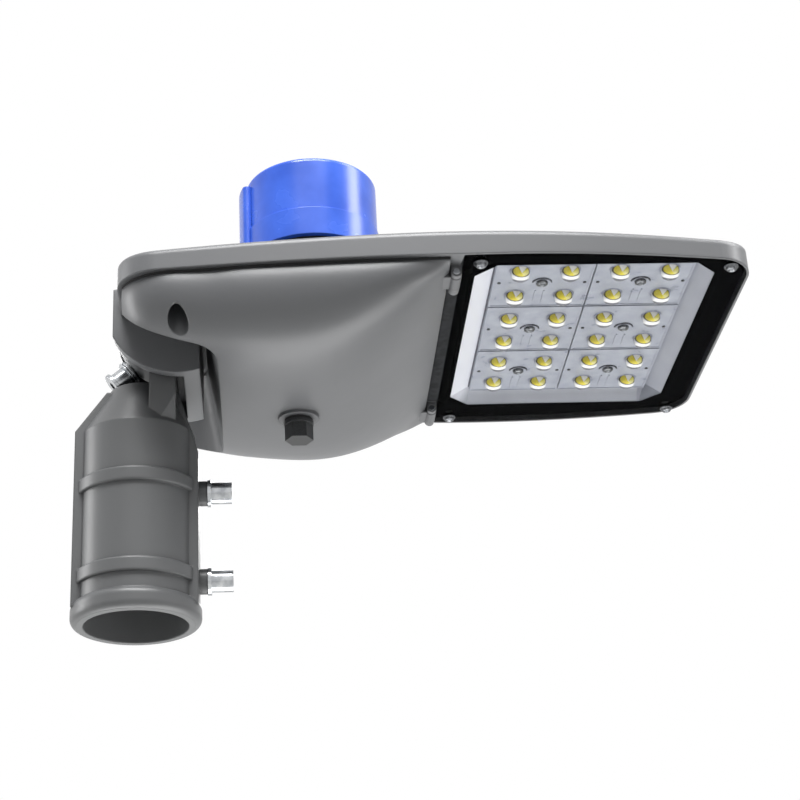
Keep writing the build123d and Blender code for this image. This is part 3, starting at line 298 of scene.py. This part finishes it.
# %% [markdown]
# The seals are pressed EPDM rubber: nearly black, matt, and faintly grained by the mould. The plug,
# the socket and the holders inside are glass-filled nylon, which moulds to a dull black with a
# fine sparkle of fibre ends at the surface.

# %% Black rubber and black nylon
rubber, tree, shader, coords = new_finish("pressed_epdm_rubber", "#171718", 0.75)
grain = put(tree, "ShaderNodeTexNoise", {"Vector": coords, "Scale": 1 / (0.8 * MM), "Detail": 3.0})
two_tone(tree, shader, grain.outputs["Fac"], "#131314", "#1f1f20")
surface_relief(tree, shader, grain.outputs["Fac"], 0.05 * MM, 0.4)
dress(rubber, "cover_gasket", "glass_gasket", "socket_gasket", "photocell_gasket", "vent_plug_seal")

nylon, tree, shader, coords = new_finish("glass_filled_black_nylon", "#1d1e1f", 0.42)
fibre = put(tree, "ShaderNodeTexNoise", {"Vector": coords, "Scale": 1 / (0.6 * MM), "Detail": 4.0})
two_tone(tree, shader, fibre.outputs["Fac"], "#161718", "#2a2b2d")
uneven_gloss(tree, shader, fibre.outputs["Fac"], 0.32, 0.5)
surface_relief(tree, shader, fibre.outputs["Fac"], 0.04 * MM, 0.3, edge=0.6 * MM)
dress(nylon, "vent_plug", "vent_plug_nut", "surge_protector", "cable_clamp", "photocell_socket",
      "photocell_base")

# %% [markdown]
# The pane is tempered soda-lime glass, ground round its edge. It is nearly invisible from below,
# so it keeps a low alpha and a dark body, and only its sheen shows. The black border behind it is
# a ceramic print fired onto the inner face; seen through the glass it is deep black with hardly
# any shine.

# %% Glass and its printed border
glass, tree, shader, coords = new_finish("tempered_soda_lime_glass", "#040505", 0.03)
shader.inputs["Alpha"].default_value = 0.07
shader.inputs["IOR"].default_value = 1.52
shader.inputs["Specular IOR Level"].default_value = 0.2
wave = put(tree, "ShaderNodeTexNoise", {"Vector": coords, "Scale": 1 / (40 * MM), "Detail": 1.0})
surface_relief(tree, shader, wave.outputs["Fac"], 0.02 * MM, 0.2)
dress(glass, "glass_pane")

frit, tree, shader, coords = new_finish("black_ceramic_frit", "#050506", 0.5)
shader.inputs["Specular IOR Level"].default_value = 0.0
speckle = put(tree, "ShaderNodeTexNoise", {"Vector": coords, "Scale": 1 / (1.2 * MM), "Detail": 2.0})
two_tone(tree, shader, speckle.outputs["Fac"], "#020203", "#050506")
dress(frit, "glass_frit_border")

# %% [markdown]
# Behind the glass, a sloping frame of white vacuum-formed sheet leads from the border up to the
# lens plates. Formed sheet is satin and slightly uneven where it stretched; along the far side
# and the tip it is painted grey, as painted shade. The driver and the
# terminals are moulded in a plainer white, and the circuit board is dark grey, partly its solder
# mask and partly painted shade, showing only as the dark lines between the lens plates.

# %% White plastics and the board
white_sheet, tree, shader, coords = new_finish("vacuum_formed_white_sheet", "#dfe1e9", 0.32)
stretch = put(tree, "ShaderNodeTexNoise", {"Vector": coords, "Scale": 1 / (18 * MM), "Detail": 2.0})
apart = put(tree, "ShaderNodeSeparateXYZ", {0: coords}).outputs
# From here to the ramp, the colour darkens towards the far side and the tip: painted shade.
far_side_shade = put(tree, "ShaderNodeMapRange", {"Value": apart["Y"], "From Min": 88 * MM, "From Max": 93 * MM,
                                             "To Min": 0.9, "To Max": 0.17})
tip_shade = put(tree, "ShaderNodeMapRange", {"Value": apart["X"], "From Min": 329 * MM, "From Max": 332 * MM,
                                            "To Min": 0.0, "To Max": -0.9})
drawn = put(tree, "ShaderNodeMath", {0: far_side_shade.outputs["Result"], 1: tip_shade.outputs["Result"]},
            operation="ADD")
shade_tone = put(tree, "ShaderNodeMath", {0: stretch.outputs["Fac"], 1: 0.2, 2: drawn.outputs[0]},
           operation="MULTIPLY_ADD")
two_tone(tree, shader, shade_tone.outputs[0], "#979aa3", "#dee0e7", 0.05, 1.0)
uneven_gloss(tree, shader, stretch.outputs["Fac"], 0.26, 0.4)
dress(white_sheet, "reflector_frame")

white_shell, tree, shader, coords = new_finish("moulded_white_polycarbonate", "#dcdcda", 0.45)
pebble = put(tree, "ShaderNodeTexNoise", {"Vector": coords, "Scale": 1 / (1.0 * MM), "Detail": 2.0})
two_tone(tree, shader, pebble.outputs["Fac"], "#d4d4d2", "#e2e2e0")
surface_relief(tree, shader, pebble.outputs["Fac"], 0.05 * MM, 0.3, edge=0.5 * MM)
dress(white_shell, "driver", "terminal_block")

# The board's dark grey is partly its solder mask and partly painted shade for the seams between the plates.
board_seam_shade, tree, shader, coords = new_finish("grey_solder_mask_and_seam_shade", "#5c5d66", 0.35)
weave = put(tree, "ShaderNodeTexVoronoi", {"Vector": coords, "Scale": 1 / (1.5 * MM)})
two_tone(tree, shader, weave.outputs["Distance"], "#54555d", "#65666f", 0.1, 0.7)
dress(board_seam_shade, "led_board")

# %% [markdown]
# The photocell is a glossy blue polypropylene moulding with a flow pattern that only just shows,
# and its three contacts are stamped brass, bright with fine rolling lines.

# %% Blue polypropylene and brass
blue_shell, tree, shader, coords = new_finish("glossy_blue_polypropylene", "#2a56c1", 0.26)
flow = put(tree, "ShaderNodeTexNoise", {"Vector": coords, "Scale": 1 / (25 * MM), "Detail": 3.0})
two_tone(tree, shader, flow.outputs["Fac"], "#244fb8", "#315dca")
uneven_gloss(tree, shader, flow.outputs["Fac"], 0.2, 0.32)
surface_relief(tree, shader, flow.outputs["Fac"], 0.05 * MM, 0.2, edge=0.8 * MM)
dress(blue_shell, "photocell_cap", "photocell_window")

brass, tree, shader, coords = new_finish("stamped_brass", "#b8923f", 0.3, metallic=1.0)
along = put(tree, "ShaderNodeMapping", {"Vector": coords, "Scale": (1.0, 1.0, 8.0)})
rolled = put(tree, "ShaderNodeTexNoise", {"Vector": along.outputs["Vector"], "Scale": 1 / (4 * MM)})
two_tone(tree, shader, rolled.outputs["Fac"], "#a98536", "#c7a24d")
uneven_gloss(tree, shader, rolled.outputs["Fac"], 0.22, 0.38)
dress(brass, "photocell_contacts")

# %% [markdown]
# The light field is what the eye goes to. Six square plates of frosted acrylic carry four lenses
# each, and each plate is held by one screw in its middle. All of it repeats on a square grid, so
# Geometry Nodes lay it out: one tree builds a small shape and copies it to every point of a grid.
# The helper below opens a tree with named inputs; the next one runs a tree and keeps plain mesh.

# %% Opening and running a Geometry Nodes tree
GRID = {"Columns": "NodeSocketInt", "Rows": "NodeSocketInt", "Pitch X": "NodeSocketFloat",
        "Pitch Y": "NodeSocketFloat", "Centre": "NodeSocketVector", "Finish": "NodeSocketMaterial"}


def open_tree(name, inputs):
    """Empty tree with named inputs; returns the tree, its input node and each input's identifier."""
    tree = bpy.data.node_groups.new(name, "GeometryNodeTree")
    tree.interface.new_socket("Geometry", in_out="INPUT", socket_type="NodeSocketGeometry")
    ids = {label: tree.interface.new_socket(label, in_out="INPUT", socket_type=kind).identifier
           for label, kind in inputs.items()}
    tree.interface.new_socket("Geometry", in_out="OUTPUT", socket_type="NodeSocketGeometry")
    return tree, put(tree, "NodeGroupInput").outputs, ids


def copy_to_points(tree, given, points, shape):
    """Copy a shape to points, make the copies real and give them their finish."""
    copies = put(tree, "GeometryNodeInstanceOnPoints", {"Points": points, "Instance": shape})
    real = put(tree, "GeometryNodeRealizeInstances", {"Geometry": copies.outputs[0]})
    done = put(tree, "GeometryNodeSetMaterial", {"Geometry": real.outputs[0], "Material": given["Finish"]})
    put(tree, "NodeGroupOutput", {"Geometry": done.outputs[0]})


def copy_to_grid(tree, given, shape):
    """Copy a shape to the points of a grid."""
    sides = []
    for count, pitch in (("Columns", "Pitch X"), ("Rows", "Pitch Y")):
        gaps = put(tree, "ShaderNodeMath", {0: given[count], 1: 1.0}, operation="SUBTRACT")
        sides.append(put(tree, "ShaderNodeMath", {0: gaps.outputs[0], 1: given[pitch]},
                         operation="MULTIPLY").outputs[0])
    grid = put(tree, "GeometryNodeMeshGrid", {"Size X": sides[0], "Size Y": sides[1],
                                              "Vertices X": given["Columns"], "Vertices Y": given["Rows"]})
    placed = put(tree, "GeometryNodeTransform", {"Geometry": grid.outputs["Mesh"],
                                                 "Translation": given["Centre"]})
    copy_to_points(tree, given, placed.outputs[0], shape)


def run_tree(name, tree, ids, sizes, body, places=()):
    """Run a tree with its sizes over a mesh of places, keep plain mesh and let it ride on a body."""
    marks = bpy.data.meshes.new(name)
    marks.from_pydata(places, [], [])
    piece = bpy.data.objects.new(name, marks)
    scene.collection.objects.link(piece)
    modifier = piece.modifiers.new(name, "NODES")
    modifier.node_group = tree
    for label, value in sizes.items():
        modifier[ids[label]] = value
    evaluated = piece.evaluated_get(bpy.context.evaluated_depsgraph_get())
    plain = bpy.data.meshes.new_from_object(evaluated)
    piece.modifiers.remove(modifier)
    piece.data = plain
    plain.name = name
    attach(piece, body)
    print(name, len(plain.polygons), "faces")
    return piece


print("inputs of every grid", list(GRID))

# %% [markdown]
# The sizes of the light field come from the drawing: lenses 30 mm apart in four columns and six
# rows, the plates' lower face 189.5 mm up, and the plates twice the lens pitch less a narrow seam.

# %% Sizes of the light field
PITCH = 30.0 * MM
FIELD_X = 274.0 * MM
PLATE_TOP = 191.7 * MM
PLATE_THICK = 2.2 * MM
PLATE_FACE = PLATE_TOP - PLATE_THICK
PLATE_WIDTH = 2 * PITCH - 0.7 * MM
PLATE_LENGTH = 2 * PITCH - 1.5 * MM
lens_grid = {"Columns": 4, "Rows": 6, "Pitch X": PITCH, "Pitch Y": PITCH}
plate_grid = {"Columns": 2, "Rows": 3, "Pitch X": 2 * PITCH, "Pitch Y": 2 * PITCH}
print("lens plates", round(PLATE_WIDTH / MM, 1), "x", round(PLATE_LENGTH / MM, 1), "mm")

# %% [markdown]
# A lens plate is frosted acrylic, and the board behind it gives it a cool lavender grey. Its face
# carries a narrow raised lip round the edge and a pair of thin ribs beside the screw. They are
# cubes joined into one shape per plate.

# %% Lens plates
plate_acrylic, tree, shader, coords = new_finish("frosted_acrylic_lens_plate", "#969aa4", 0.3)
frost = put(tree, "ShaderNodeTexNoise", {"Vector": coords, "Scale": 1 / (9 * MM), "Detail": 3.0})
two_tone(tree, shader, frost.outputs["Fac"], "#8f939e", "#9da1aa")
uneven_gloss(tree, shader, frost.outputs["Fac"], 0.22, 0.38)

tree, given, ids = open_tree("lens_plate_grid", {
    **GRID, "Width": "NodeSocketFloat", "Length": "NodeSocketFloat", "Thick": "NodeSocketFloat",
    "Rib": "NodeSocketFloat"})
square = put(tree, "ShaderNodeCombineXYZ", {"X": given["Width"], "Y": given["Length"], "Z": given["Thick"]})
shapes = [put(tree, "GeometryNodeMeshCube", {"Size": square.outputs[0]}).outputs["Mesh"]]
below = put(tree, "ShaderNodeMath", {0: given["Thick"], 1: -0.5}, operation="MULTIPLY").outputs[0]
# Ribs and lips in millimetres. A rib is as wide as it is high, so it gives no width of its own.
RIB_LENGTH, RIB_X, RIB_Y = 15.0, 2.6, 17.0
SIDE_LIP, SIDE_LIP_LENGTH, SIDE_LIP_X = 1.0, 58.4, 29.0
END_LIP, END_LIP_LENGTH, END_LIP_Y = 0.8, 57.0, 28.8
bars = [(None, RIB_LENGTH, side * RIB_X, RIB_Y) for side in (-1, 1)]
bars += [(SIDE_LIP, SIDE_LIP_LENGTH, side * SIDE_LIP_X, 0) for side in (-1, 1)]
bars += [(END_LIP_LENGTH, END_LIP, 0, side * END_LIP_Y) for side in (-1, 1)]
for width, length, x, y in bars:
    bar = put(tree, "ShaderNodeCombineXYZ", {"X": width * MM if width else given["Rib"], "Y": length * MM,
                                             "Z": given["Rib"]})
    raised = put(tree, "GeometryNodeMeshCube", {"Size": bar.outputs[0]})
    foot = put(tree, "ShaderNodeCombineXYZ", {"X": x * MM, "Y": y * MM, "Z": below})
    shapes.append(put(tree, "GeometryNodeTransform", {"Geometry": raised.outputs["Mesh"],
                                                      "Translation": foot.outputs[0]}).outputs[0])
plate = put(tree, "GeometryNodeJoinGeometry")
for shape in shapes:
    tree.links.new(shape, plate.inputs[0])
copy_to_grid(tree, given, plate.outputs[0])
lens_plates = run_tree("lens_plates", tree, ids, {
    **plate_grid, "Centre": (FIELD_X, 0.0, PLATE_TOP - PLATE_THICK / 2), "Finish": plate_acrylic,
    "Width": PLATE_WIDTH, "Length": PLATE_LENGTH, "Thick": PLATE_THICK, "Rib": 0.9 * MM},
    "head")
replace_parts(lens_plates, *["lens_module_%d" % number for number in range(1, 7)])

# %% [markdown]
# A lens is a clear dome of moulded acrylic that hangs from its plate. The acrylic is so clear that
# only its sheen and a faint ripple show, so a low alpha stands for it and costs no refraction.

# %% Clear acrylic
acrylic, tree, shader, coords = new_finish("clear_moulded_acrylic", "#f4f5fa", 0.04)
shader.inputs["IOR"].default_value = 1.49
shader.inputs["Alpha"].default_value = 0.09
ripple = put(tree, "ShaderNodeTexNoise", {"Vector": coords, "Scale": 1 / (2.5 * MM), "Detail": 1.0})
surface_relief(tree, shader, ripple.outputs["Fac"], 0.3 * MM, 0.5)
print(acrylic.name, "waits for the domes")

# %% [markdown]
# Under the dome sits the LED, which the dome magnifies until yellow fills it. A bright wedge on
# the yellow is painted highlight, and on the house side a pale bulge beyond a dark line is painted
# reflection, the dark line painted shade. A second, slightly smaller dome carries this as its colour.
# Its finish finds the place in each lens by wrapping the piece's coordinates at the lens pitch.
# Then it measures two things: the turn round the tip of the wedge, and the distance from the
# middle of the yellow, which is an ellipse.

# %% Place in a lens
# The painted sheen is laid out along a slant 25 degrees from straight down. Both reaches are measured in
# halves of the ellipse.
SHEEN_SLANT = (0.0, 0.42, -0.906)
SHEEN_WEDGE_TIP = 2.0 * MM
YELLOW_MIDDLE = (0.0, 0.8 * MM, 0.0)
YELLOW_HALVES = (5.3 * MM, 3.6 * MM)
YELLOW_REACH, REFLECTION_REACH = 0.87, 1.7
phosphor_and_sheen, tree, shader, coords = new_finish("yellow_phosphor_and_painted_sheen", "#d9c52c", 0.25)
shader.inputs["Specular IOR Level"].default_value = 0.25
in_cell = put(tree, "ShaderNodeVectorMath", {
    0: coords, 1: (FIELD_X + PITCH, PITCH, 1.0), 2: (FIELD_X, 0.0, -1.0)}, operation="WRAP")
in_lens = put(tree, "ShaderNodeVectorMath", {
    0: in_cell.outputs[0], 1: (FIELD_X + PITCH / 2, PITCH / 2, PLATE_FACE)}, operation="SUBTRACT").outputs[0]
aslant = put(tree, "ShaderNodeVectorMath", {0: in_lens, 1: SHEEN_SLANT},
             operation="DOT_PRODUCT").outputs["Value"]
sideways = put(tree, "ShaderNodeSeparateXYZ", {0: in_lens}).outputs["X"]
above = put(tree, "ShaderNodeMath", {0: SHEEN_WEDGE_TIP, 1: aslant}, operation="SUBTRACT").outputs[0]
turn = put(tree, "ShaderNodeMath", {0: above, 1: sideways}, operation="ARCTAN2")
turn = put(tree, "ShaderNodeMapRange", {"Value": turn.outputs[0], "From Min": -pi, "From Max": pi})
spot = put(tree, "ShaderNodeCombineXYZ", {"X": sideways, "Y": aslant})
spot = put(tree, "ShaderNodeVectorMath", {0: spot.outputs[0], 1: YELLOW_MIDDLE}, operation="SUBTRACT")
spot = put(tree, "ShaderNodeVectorMath", {
    0: spot.outputs[0], 1: (1 / YELLOW_HALVES[0], 1 / YELLOW_HALVES[1], 0.0)}, operation="MULTIPLY")
reach = put(tree, "ShaderNodeVectorMath", {0: spot.outputs[0]}, operation="LENGTH").outputs["Value"]
reflection_end = put(tree, "ShaderNodeMapRange", {"Value": reach, "From Min": YELLOW_REACH,
                                             "From Max": REFLECTION_REACH})
past = put(tree, "ShaderNodeMath", {0: reach, 1: YELLOW_REACH}, operation="GREATER_THAN")
print("yellow", [round(2 * half / MM, 1) for half in YELLOW_HALVES], "mm")

# %% Colours in a lens
# The pale stops on the yellow are painted highlight, its dark stops painted shade, and the pale band of the
# second ramp is painted reflection.
tints = []
for factor, stops in (
        (turn, ((0.0, "#dfcc0c"), (0.3, "#f0e228"), (0.45, "#f5eea6"), (0.6, "#f0e440"),
                (0.612, "#7d7420"), (0.63, "#f9f7e8"), (0.8, "#fcfaf4"), (0.815, "#857c2a"),
                (0.833, "#e2d00e"))),
        (reflection_end, ((0.0, "#625a14"), (0.14, "#4e481a"), (0.2, "#dfe0e0"), (0.3, "#f4f4f2"),
                     (0.66, "#f6f6f4"), (0.78, "#5a5b64")))):
    ramp = put(tree, "ShaderNodeValToRGB", {"Fac": factor.outputs["Result"]})
    ramp.color_ramp.elements.remove(ramp.color_ramp.elements[1])
    ramp.color_ramp.elements[0].color = linear(stops[0][1])
    for place, colour in stops[1:]:
        ramp.color_ramp.elements.new(place).color = linear(colour)
    tints.append(ramp.outputs["Color"])
put_together = put(tree, "ShaderNodeMix", data_type="RGBA")
for socket, value in (("Factor_Float", past.outputs[0]), ("A_Color", tints[0]), ("B_Color", tints[1])):
    tree.links.new(value, next(i for i in put_together.inputs if i.identifier == socket))
mixed = next(o for o in put_together.outputs if o.identifier == "Result_Color")
tree.links.new(mixed, shader.inputs["Base Color"])
dress(phosphor_and_sheen, "led_chips")

# %% [markdown]
# A cylinder with many rings becomes a dome when each ring is drawn in by its depth, so the tree
# uses Set Position with that rule, once for the clear dome and once for the painted core in it. Both
# are a little longer across the road than along it, and flat at the crown.

# %% Domes and their painted cores
FLAT_CROWN = 0.3
ACROSS_STRETCH = 1.06


def dome_tree(name):
    """Tree that draws a cylinder in to a dome and copies it over the light field."""
    tree, given, ids = open_tree(name, {**GRID, "Radius": "NodeSocketFloat", "Height": "NodeSocketFloat",
                                        "Fullness": "NodeSocketFloat", "Stretch": "NodeSocketFloat"})
    tube = put(tree, "GeometryNodeMeshCylinder", {"Vertices": 28, "Side Segments": 9, "Fill Segments": 3,
                                                  "Radius": given["Radius"], "Depth": given["Height"]})
    place = put(tree, "GeometryNodeInputPosition").outputs[0]
    apart = put(tree, "ShaderNodeSeparateXYZ", {0: place}).outputs
    down = put(tree, "ShaderNodeMath", {0: apart["Z"], 1: given["Height"]}, operation="DIVIDE")
    down = put(tree, "ShaderNodeMath", {0: 0.5, 1: down.outputs[0]}, operation="SUBTRACT")
    curve = put(tree, "ShaderNodeMath", {0: down.outputs[0], 1: given["Fullness"]}, operation="POWER")
    rest = put(tree, "ShaderNodeMath", {0: 1.0, 1: curve.outputs[0]}, operation="SUBTRACT")
    share = put(tree, "ShaderNodeMath", {0: rest.outputs[0], 1: 0.5}, operation="POWER")
    share = put(tree, "ShaderNodeMath", {0: share.outputs[0], 1: FLAT_CROWN},
                operation="MAXIMUM").outputs[0]
    across = put(tree, "ShaderNodeMath", {0: share, 1: given["Stretch"]}, operation="MULTIPLY").outputs[0]
    factors = put(tree, "ShaderNodeCombineXYZ", {"X": share, "Y": across, "Z": 1.0})
    drawn = put(tree, "ShaderNodeVectorMath", {0: place, 1: factors.outputs[0]}, operation="MULTIPLY")
    dome = put(tree, "GeometryNodeSetPosition", {"Geometry": tube.outputs["Mesh"],
                                                 "Position": drawn.outputs[0]})
    smooth = put(tree, "GeometryNodeSetShadeSmooth", {"Geometry": dome.outputs[0]})
    copy_to_grid(tree, given, smooth.outputs[0])
    return tree, ids


dome, dome_ids = dome_tree("hanging_dome")
for name, finish, radius, height, fullness, slot in (
        ("lens_domes", acrylic, 5.75, 7.2, 5.0, "clear_lens_plastic"),
        ("lens_glow", phosphor_and_sheen, 5.5, 6.9, 5.0, "yellow_phosphor")):
    run_tree(name, dome, dome_ids, {
        **lens_grid, "Centre": (FIELD_X, 0.0, PLATE_FACE - height * MM / 2), "Finish": finish,
        "Radius": radius * MM, "Height": height * MM, "Fullness": fullness,
        "Stretch": ACROSS_STRETCH}, "head")

# %% [markdown]
# Where a dome meets its plate, a low rounded collar stands; its darker grey is painted shade of the
# lens. It is a ring swept round a circle.

# %% Lens collars
collar_shade, tree, shader, coords = new_finish("shaded_lens_foot", "#8d90a0", 0.3)
mottle = put(tree, "ShaderNodeTexNoise", {"Vector": coords, "Scale": 1 / (3 * MM), "Detail": 1.0})
two_tone(tree, shader, mottle.outputs["Fac"], "#7b7e8e", "#9da0ae")
tree, given, ids = open_tree("collar_grid", {**GRID, "Radius": "NodeSocketFloat", "Thick": "NodeSocketFloat"})
ring_line = put(tree, "GeometryNodeCurvePrimitiveCircle", {"Resolution": 32, "Radius": given["Radius"]})
wall = put(tree, "GeometryNodeCurvePrimitiveCircle", {"Resolution": 8, "Radius": given["Thick"]})
ring = put(tree, "GeometryNodeCurveToMesh", {"Curve": ring_line.outputs["Curve"],
                                             "Profile Curve": wall.outputs["Curve"]})
smooth = put(tree, "GeometryNodeSetShadeSmooth", {"Geometry": ring.outputs["Mesh"]})
copy_to_grid(tree, given, smooth.outputs[0])
run_tree("lens_collars", tree, ids, {
    **lens_grid, "Centre": (FIELD_X, 0.0, PLATE_FACE), "Finish": collar_shade,
    "Radius": 6.1 * MM, "Thick": 0.5 * MM}, "head")

# %% [markdown]
# Each screw sits in a shallow pocket of its plate. The wall of the pocket stands up on one side as
# a half ring, coloured near black as painted shade, so it reads as a dark arc over the screw.

# %% Screw pockets
pocket_shade, tree, shader, coords = new_finish("painted_shade_pocket", "#2e2f36", 0.35)
pocket_mottle = put(tree, "ShaderNodeTexNoise", {"Vector": coords, "Scale": 1 / (2.5 * MM), "Detail": 1.0})
two_tone(tree, shader, pocket_mottle.outputs["Fac"], "#15161a", "#5a5c66")
tree, given, ids = open_tree("pocket_grid", {**GRID, "Radius": "NodeSocketFloat", "Rise": "NodeSocketFloat"})
arc = put(tree, "GeometryNodeCurveArc", {"Resolution": 20, "Radius": given["Radius"],
                                         "Start Angle": radians(190), "Sweep Angle": radians(160)})
wall = put(tree, "GeometryNodeCurvePrimitiveQuadrilateral", {"Width": 0.8 * MM, "Height": given["Rise"]})
pocket = put(tree, "GeometryNodeCurveToMesh", {"Curve": arc.outputs["Curve"],
                                               "Profile Curve": wall.outputs["Curve"], "Fill Caps": True})
copy_to_grid(tree, given, pocket.outputs["Mesh"])
run_tree("screw_pockets", tree, ids, {
    **plate_grid, "Centre": (FIELD_X, 0.0, PLATE_FACE), "Finish": pocket_shade,
    "Radius": 5.8 * MM, "Rise": 1.6 * MM}, "head")

# %% [markdown]
# Small vent holes sit at the middle of each plate's two sides. Their dark inside is painted shade:
# black pips let into the face, a short cylinder each, with two to a plate.

# %% Vent holes in the lens plates
VENT_X = 26.0 * MM
VENT_SHOWS = 0.05 * MM
tree, given, ids = open_tree("vent_hole_grid", {**GRID, "Radius": "NodeSocketFloat"})
pip = put(tree, "GeometryNodeMeshCylinder", {"Vertices": 14, "Radius": given["Radius"], "Depth": 0.6 * MM})
copy_to_grid(tree, given, pip.outputs["Mesh"])
for name, side in (("vent_holes_rear", -1), ("vent_holes_front", 1)):
    run_tree(name, tree, ids, {
        **plate_grid, "Centre": (FIELD_X + side * VENT_X, 0.0, PLATE_FACE - VENT_SHOWS), "Finish": nylon,
        "Radius": 1.1 * MM}, "head")

# %% [markdown]
# Screws repeat in several places: one in each plate, and four with washers that hold the glass.
# Each kind is turned once as a profile round its axis, with a round recess in its crown, and a
# tree copies it to the vertices of a small mesh that marks the places.

# %% Turned screws
LATHE_STEPS = 24


def turned(name, profile):
    """Closed mesh of revolution that hangs from its seat: pairs of radius and depth in millimetres."""
    shape = bmesh.new()
    rings = []
    for radius, depth in profile:
        rings.append([shape.verts.new((radius * MM * cos(2 * pi * k / LATHE_STEPS),
                                       radius * MM * sin(2 * pi * k / LATHE_STEPS), -depth * MM))
                      for k in range(LATHE_STEPS)])
    for first, second in zip(rings, rings[1:]):
        for k in range(LATHE_STEPS):
            after = (k + 1) % LATHE_STEPS
            shape.faces.new((first[k], first[after], second[after], second[k]))
    shape.faces.new(rings[0])
    shape.faces.new(list(reversed(rings[-1])))
    bmesh.ops.recalc_face_normals(shape, faces=shape.faces)
    for face in shape.faces:
        face.smooth = len(face.verts) == 4
    mesh = bpy.data.meshes.new(name)
    shape.to_mesh(mesh)
    shape.free()
    return mesh


def screws_at(name, template, places, finish):
    """Copies of a template at given places, laid out by a tree, as one piece of the head."""
    shape = bpy.data.objects.new(name + "_template", template)
    scene.collection.objects.link(shape)
    tree, given, ids = open_tree(name + "_tree", {"Shape": "NodeSocketObject",
                                                  "Finish": "NodeSocketMaterial"})
    source = put(tree, "GeometryNodeObjectInfo", {"Object": given["Shape"]})
    points = put(tree, "GeometryNodeMeshToPoints", {"Mesh": given["Geometry"]})
    copy_to_points(tree, given, points.outputs[0], source.outputs["Geometry"])
    piece = run_tree(name, tree, ids, {"Shape": shape, "Finish": finish}, "head", places)
    bpy.data.objects.remove(shape)
    return piece


print("steps round a screw", LATHE_STEPS)

# %% Screws of the plates and of the glass
plate_screw = turned("plate_screw", (
    (3.5, 0.0), (3.6, 0.5), (3.3, 1.4), (2.3, 2.0), (1.9, 2.1), (1.7, 1.3), (0.3, 1.3)))
plate_places = [(FIELD_X + column * PITCH, 2 * row * PITCH, PLATE_FACE)
                for column in (-1, 1) for row in (-1, 0, 1)]
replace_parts(screws_at("plate_screws", plate_screw, plate_places, stainless),
            "lens_screws")

GLASS_FACE = 177.6 * MM
PANE_SCREWS_MM = ((201.5, 106.0), (349.5, 98.0))
pane_screw = turned("pane_screw", (
    (4.2, 0.0), (4.2, 0.7), (3.2, 0.7), (3.3, 1.4), (3.0, 2.2), (2.4, 2.7), (1.9, 2.8), (1.5, 1.3),
    (0.3, 1.3)))
pane_places = [(x * MM, side * y * MM, GLASS_FACE) for x, y in PANE_SCREWS_MM for side in (-1, 1)]
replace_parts(screws_at("pane_screws", pane_screw, pane_places, stainless),
            "glass_screws")
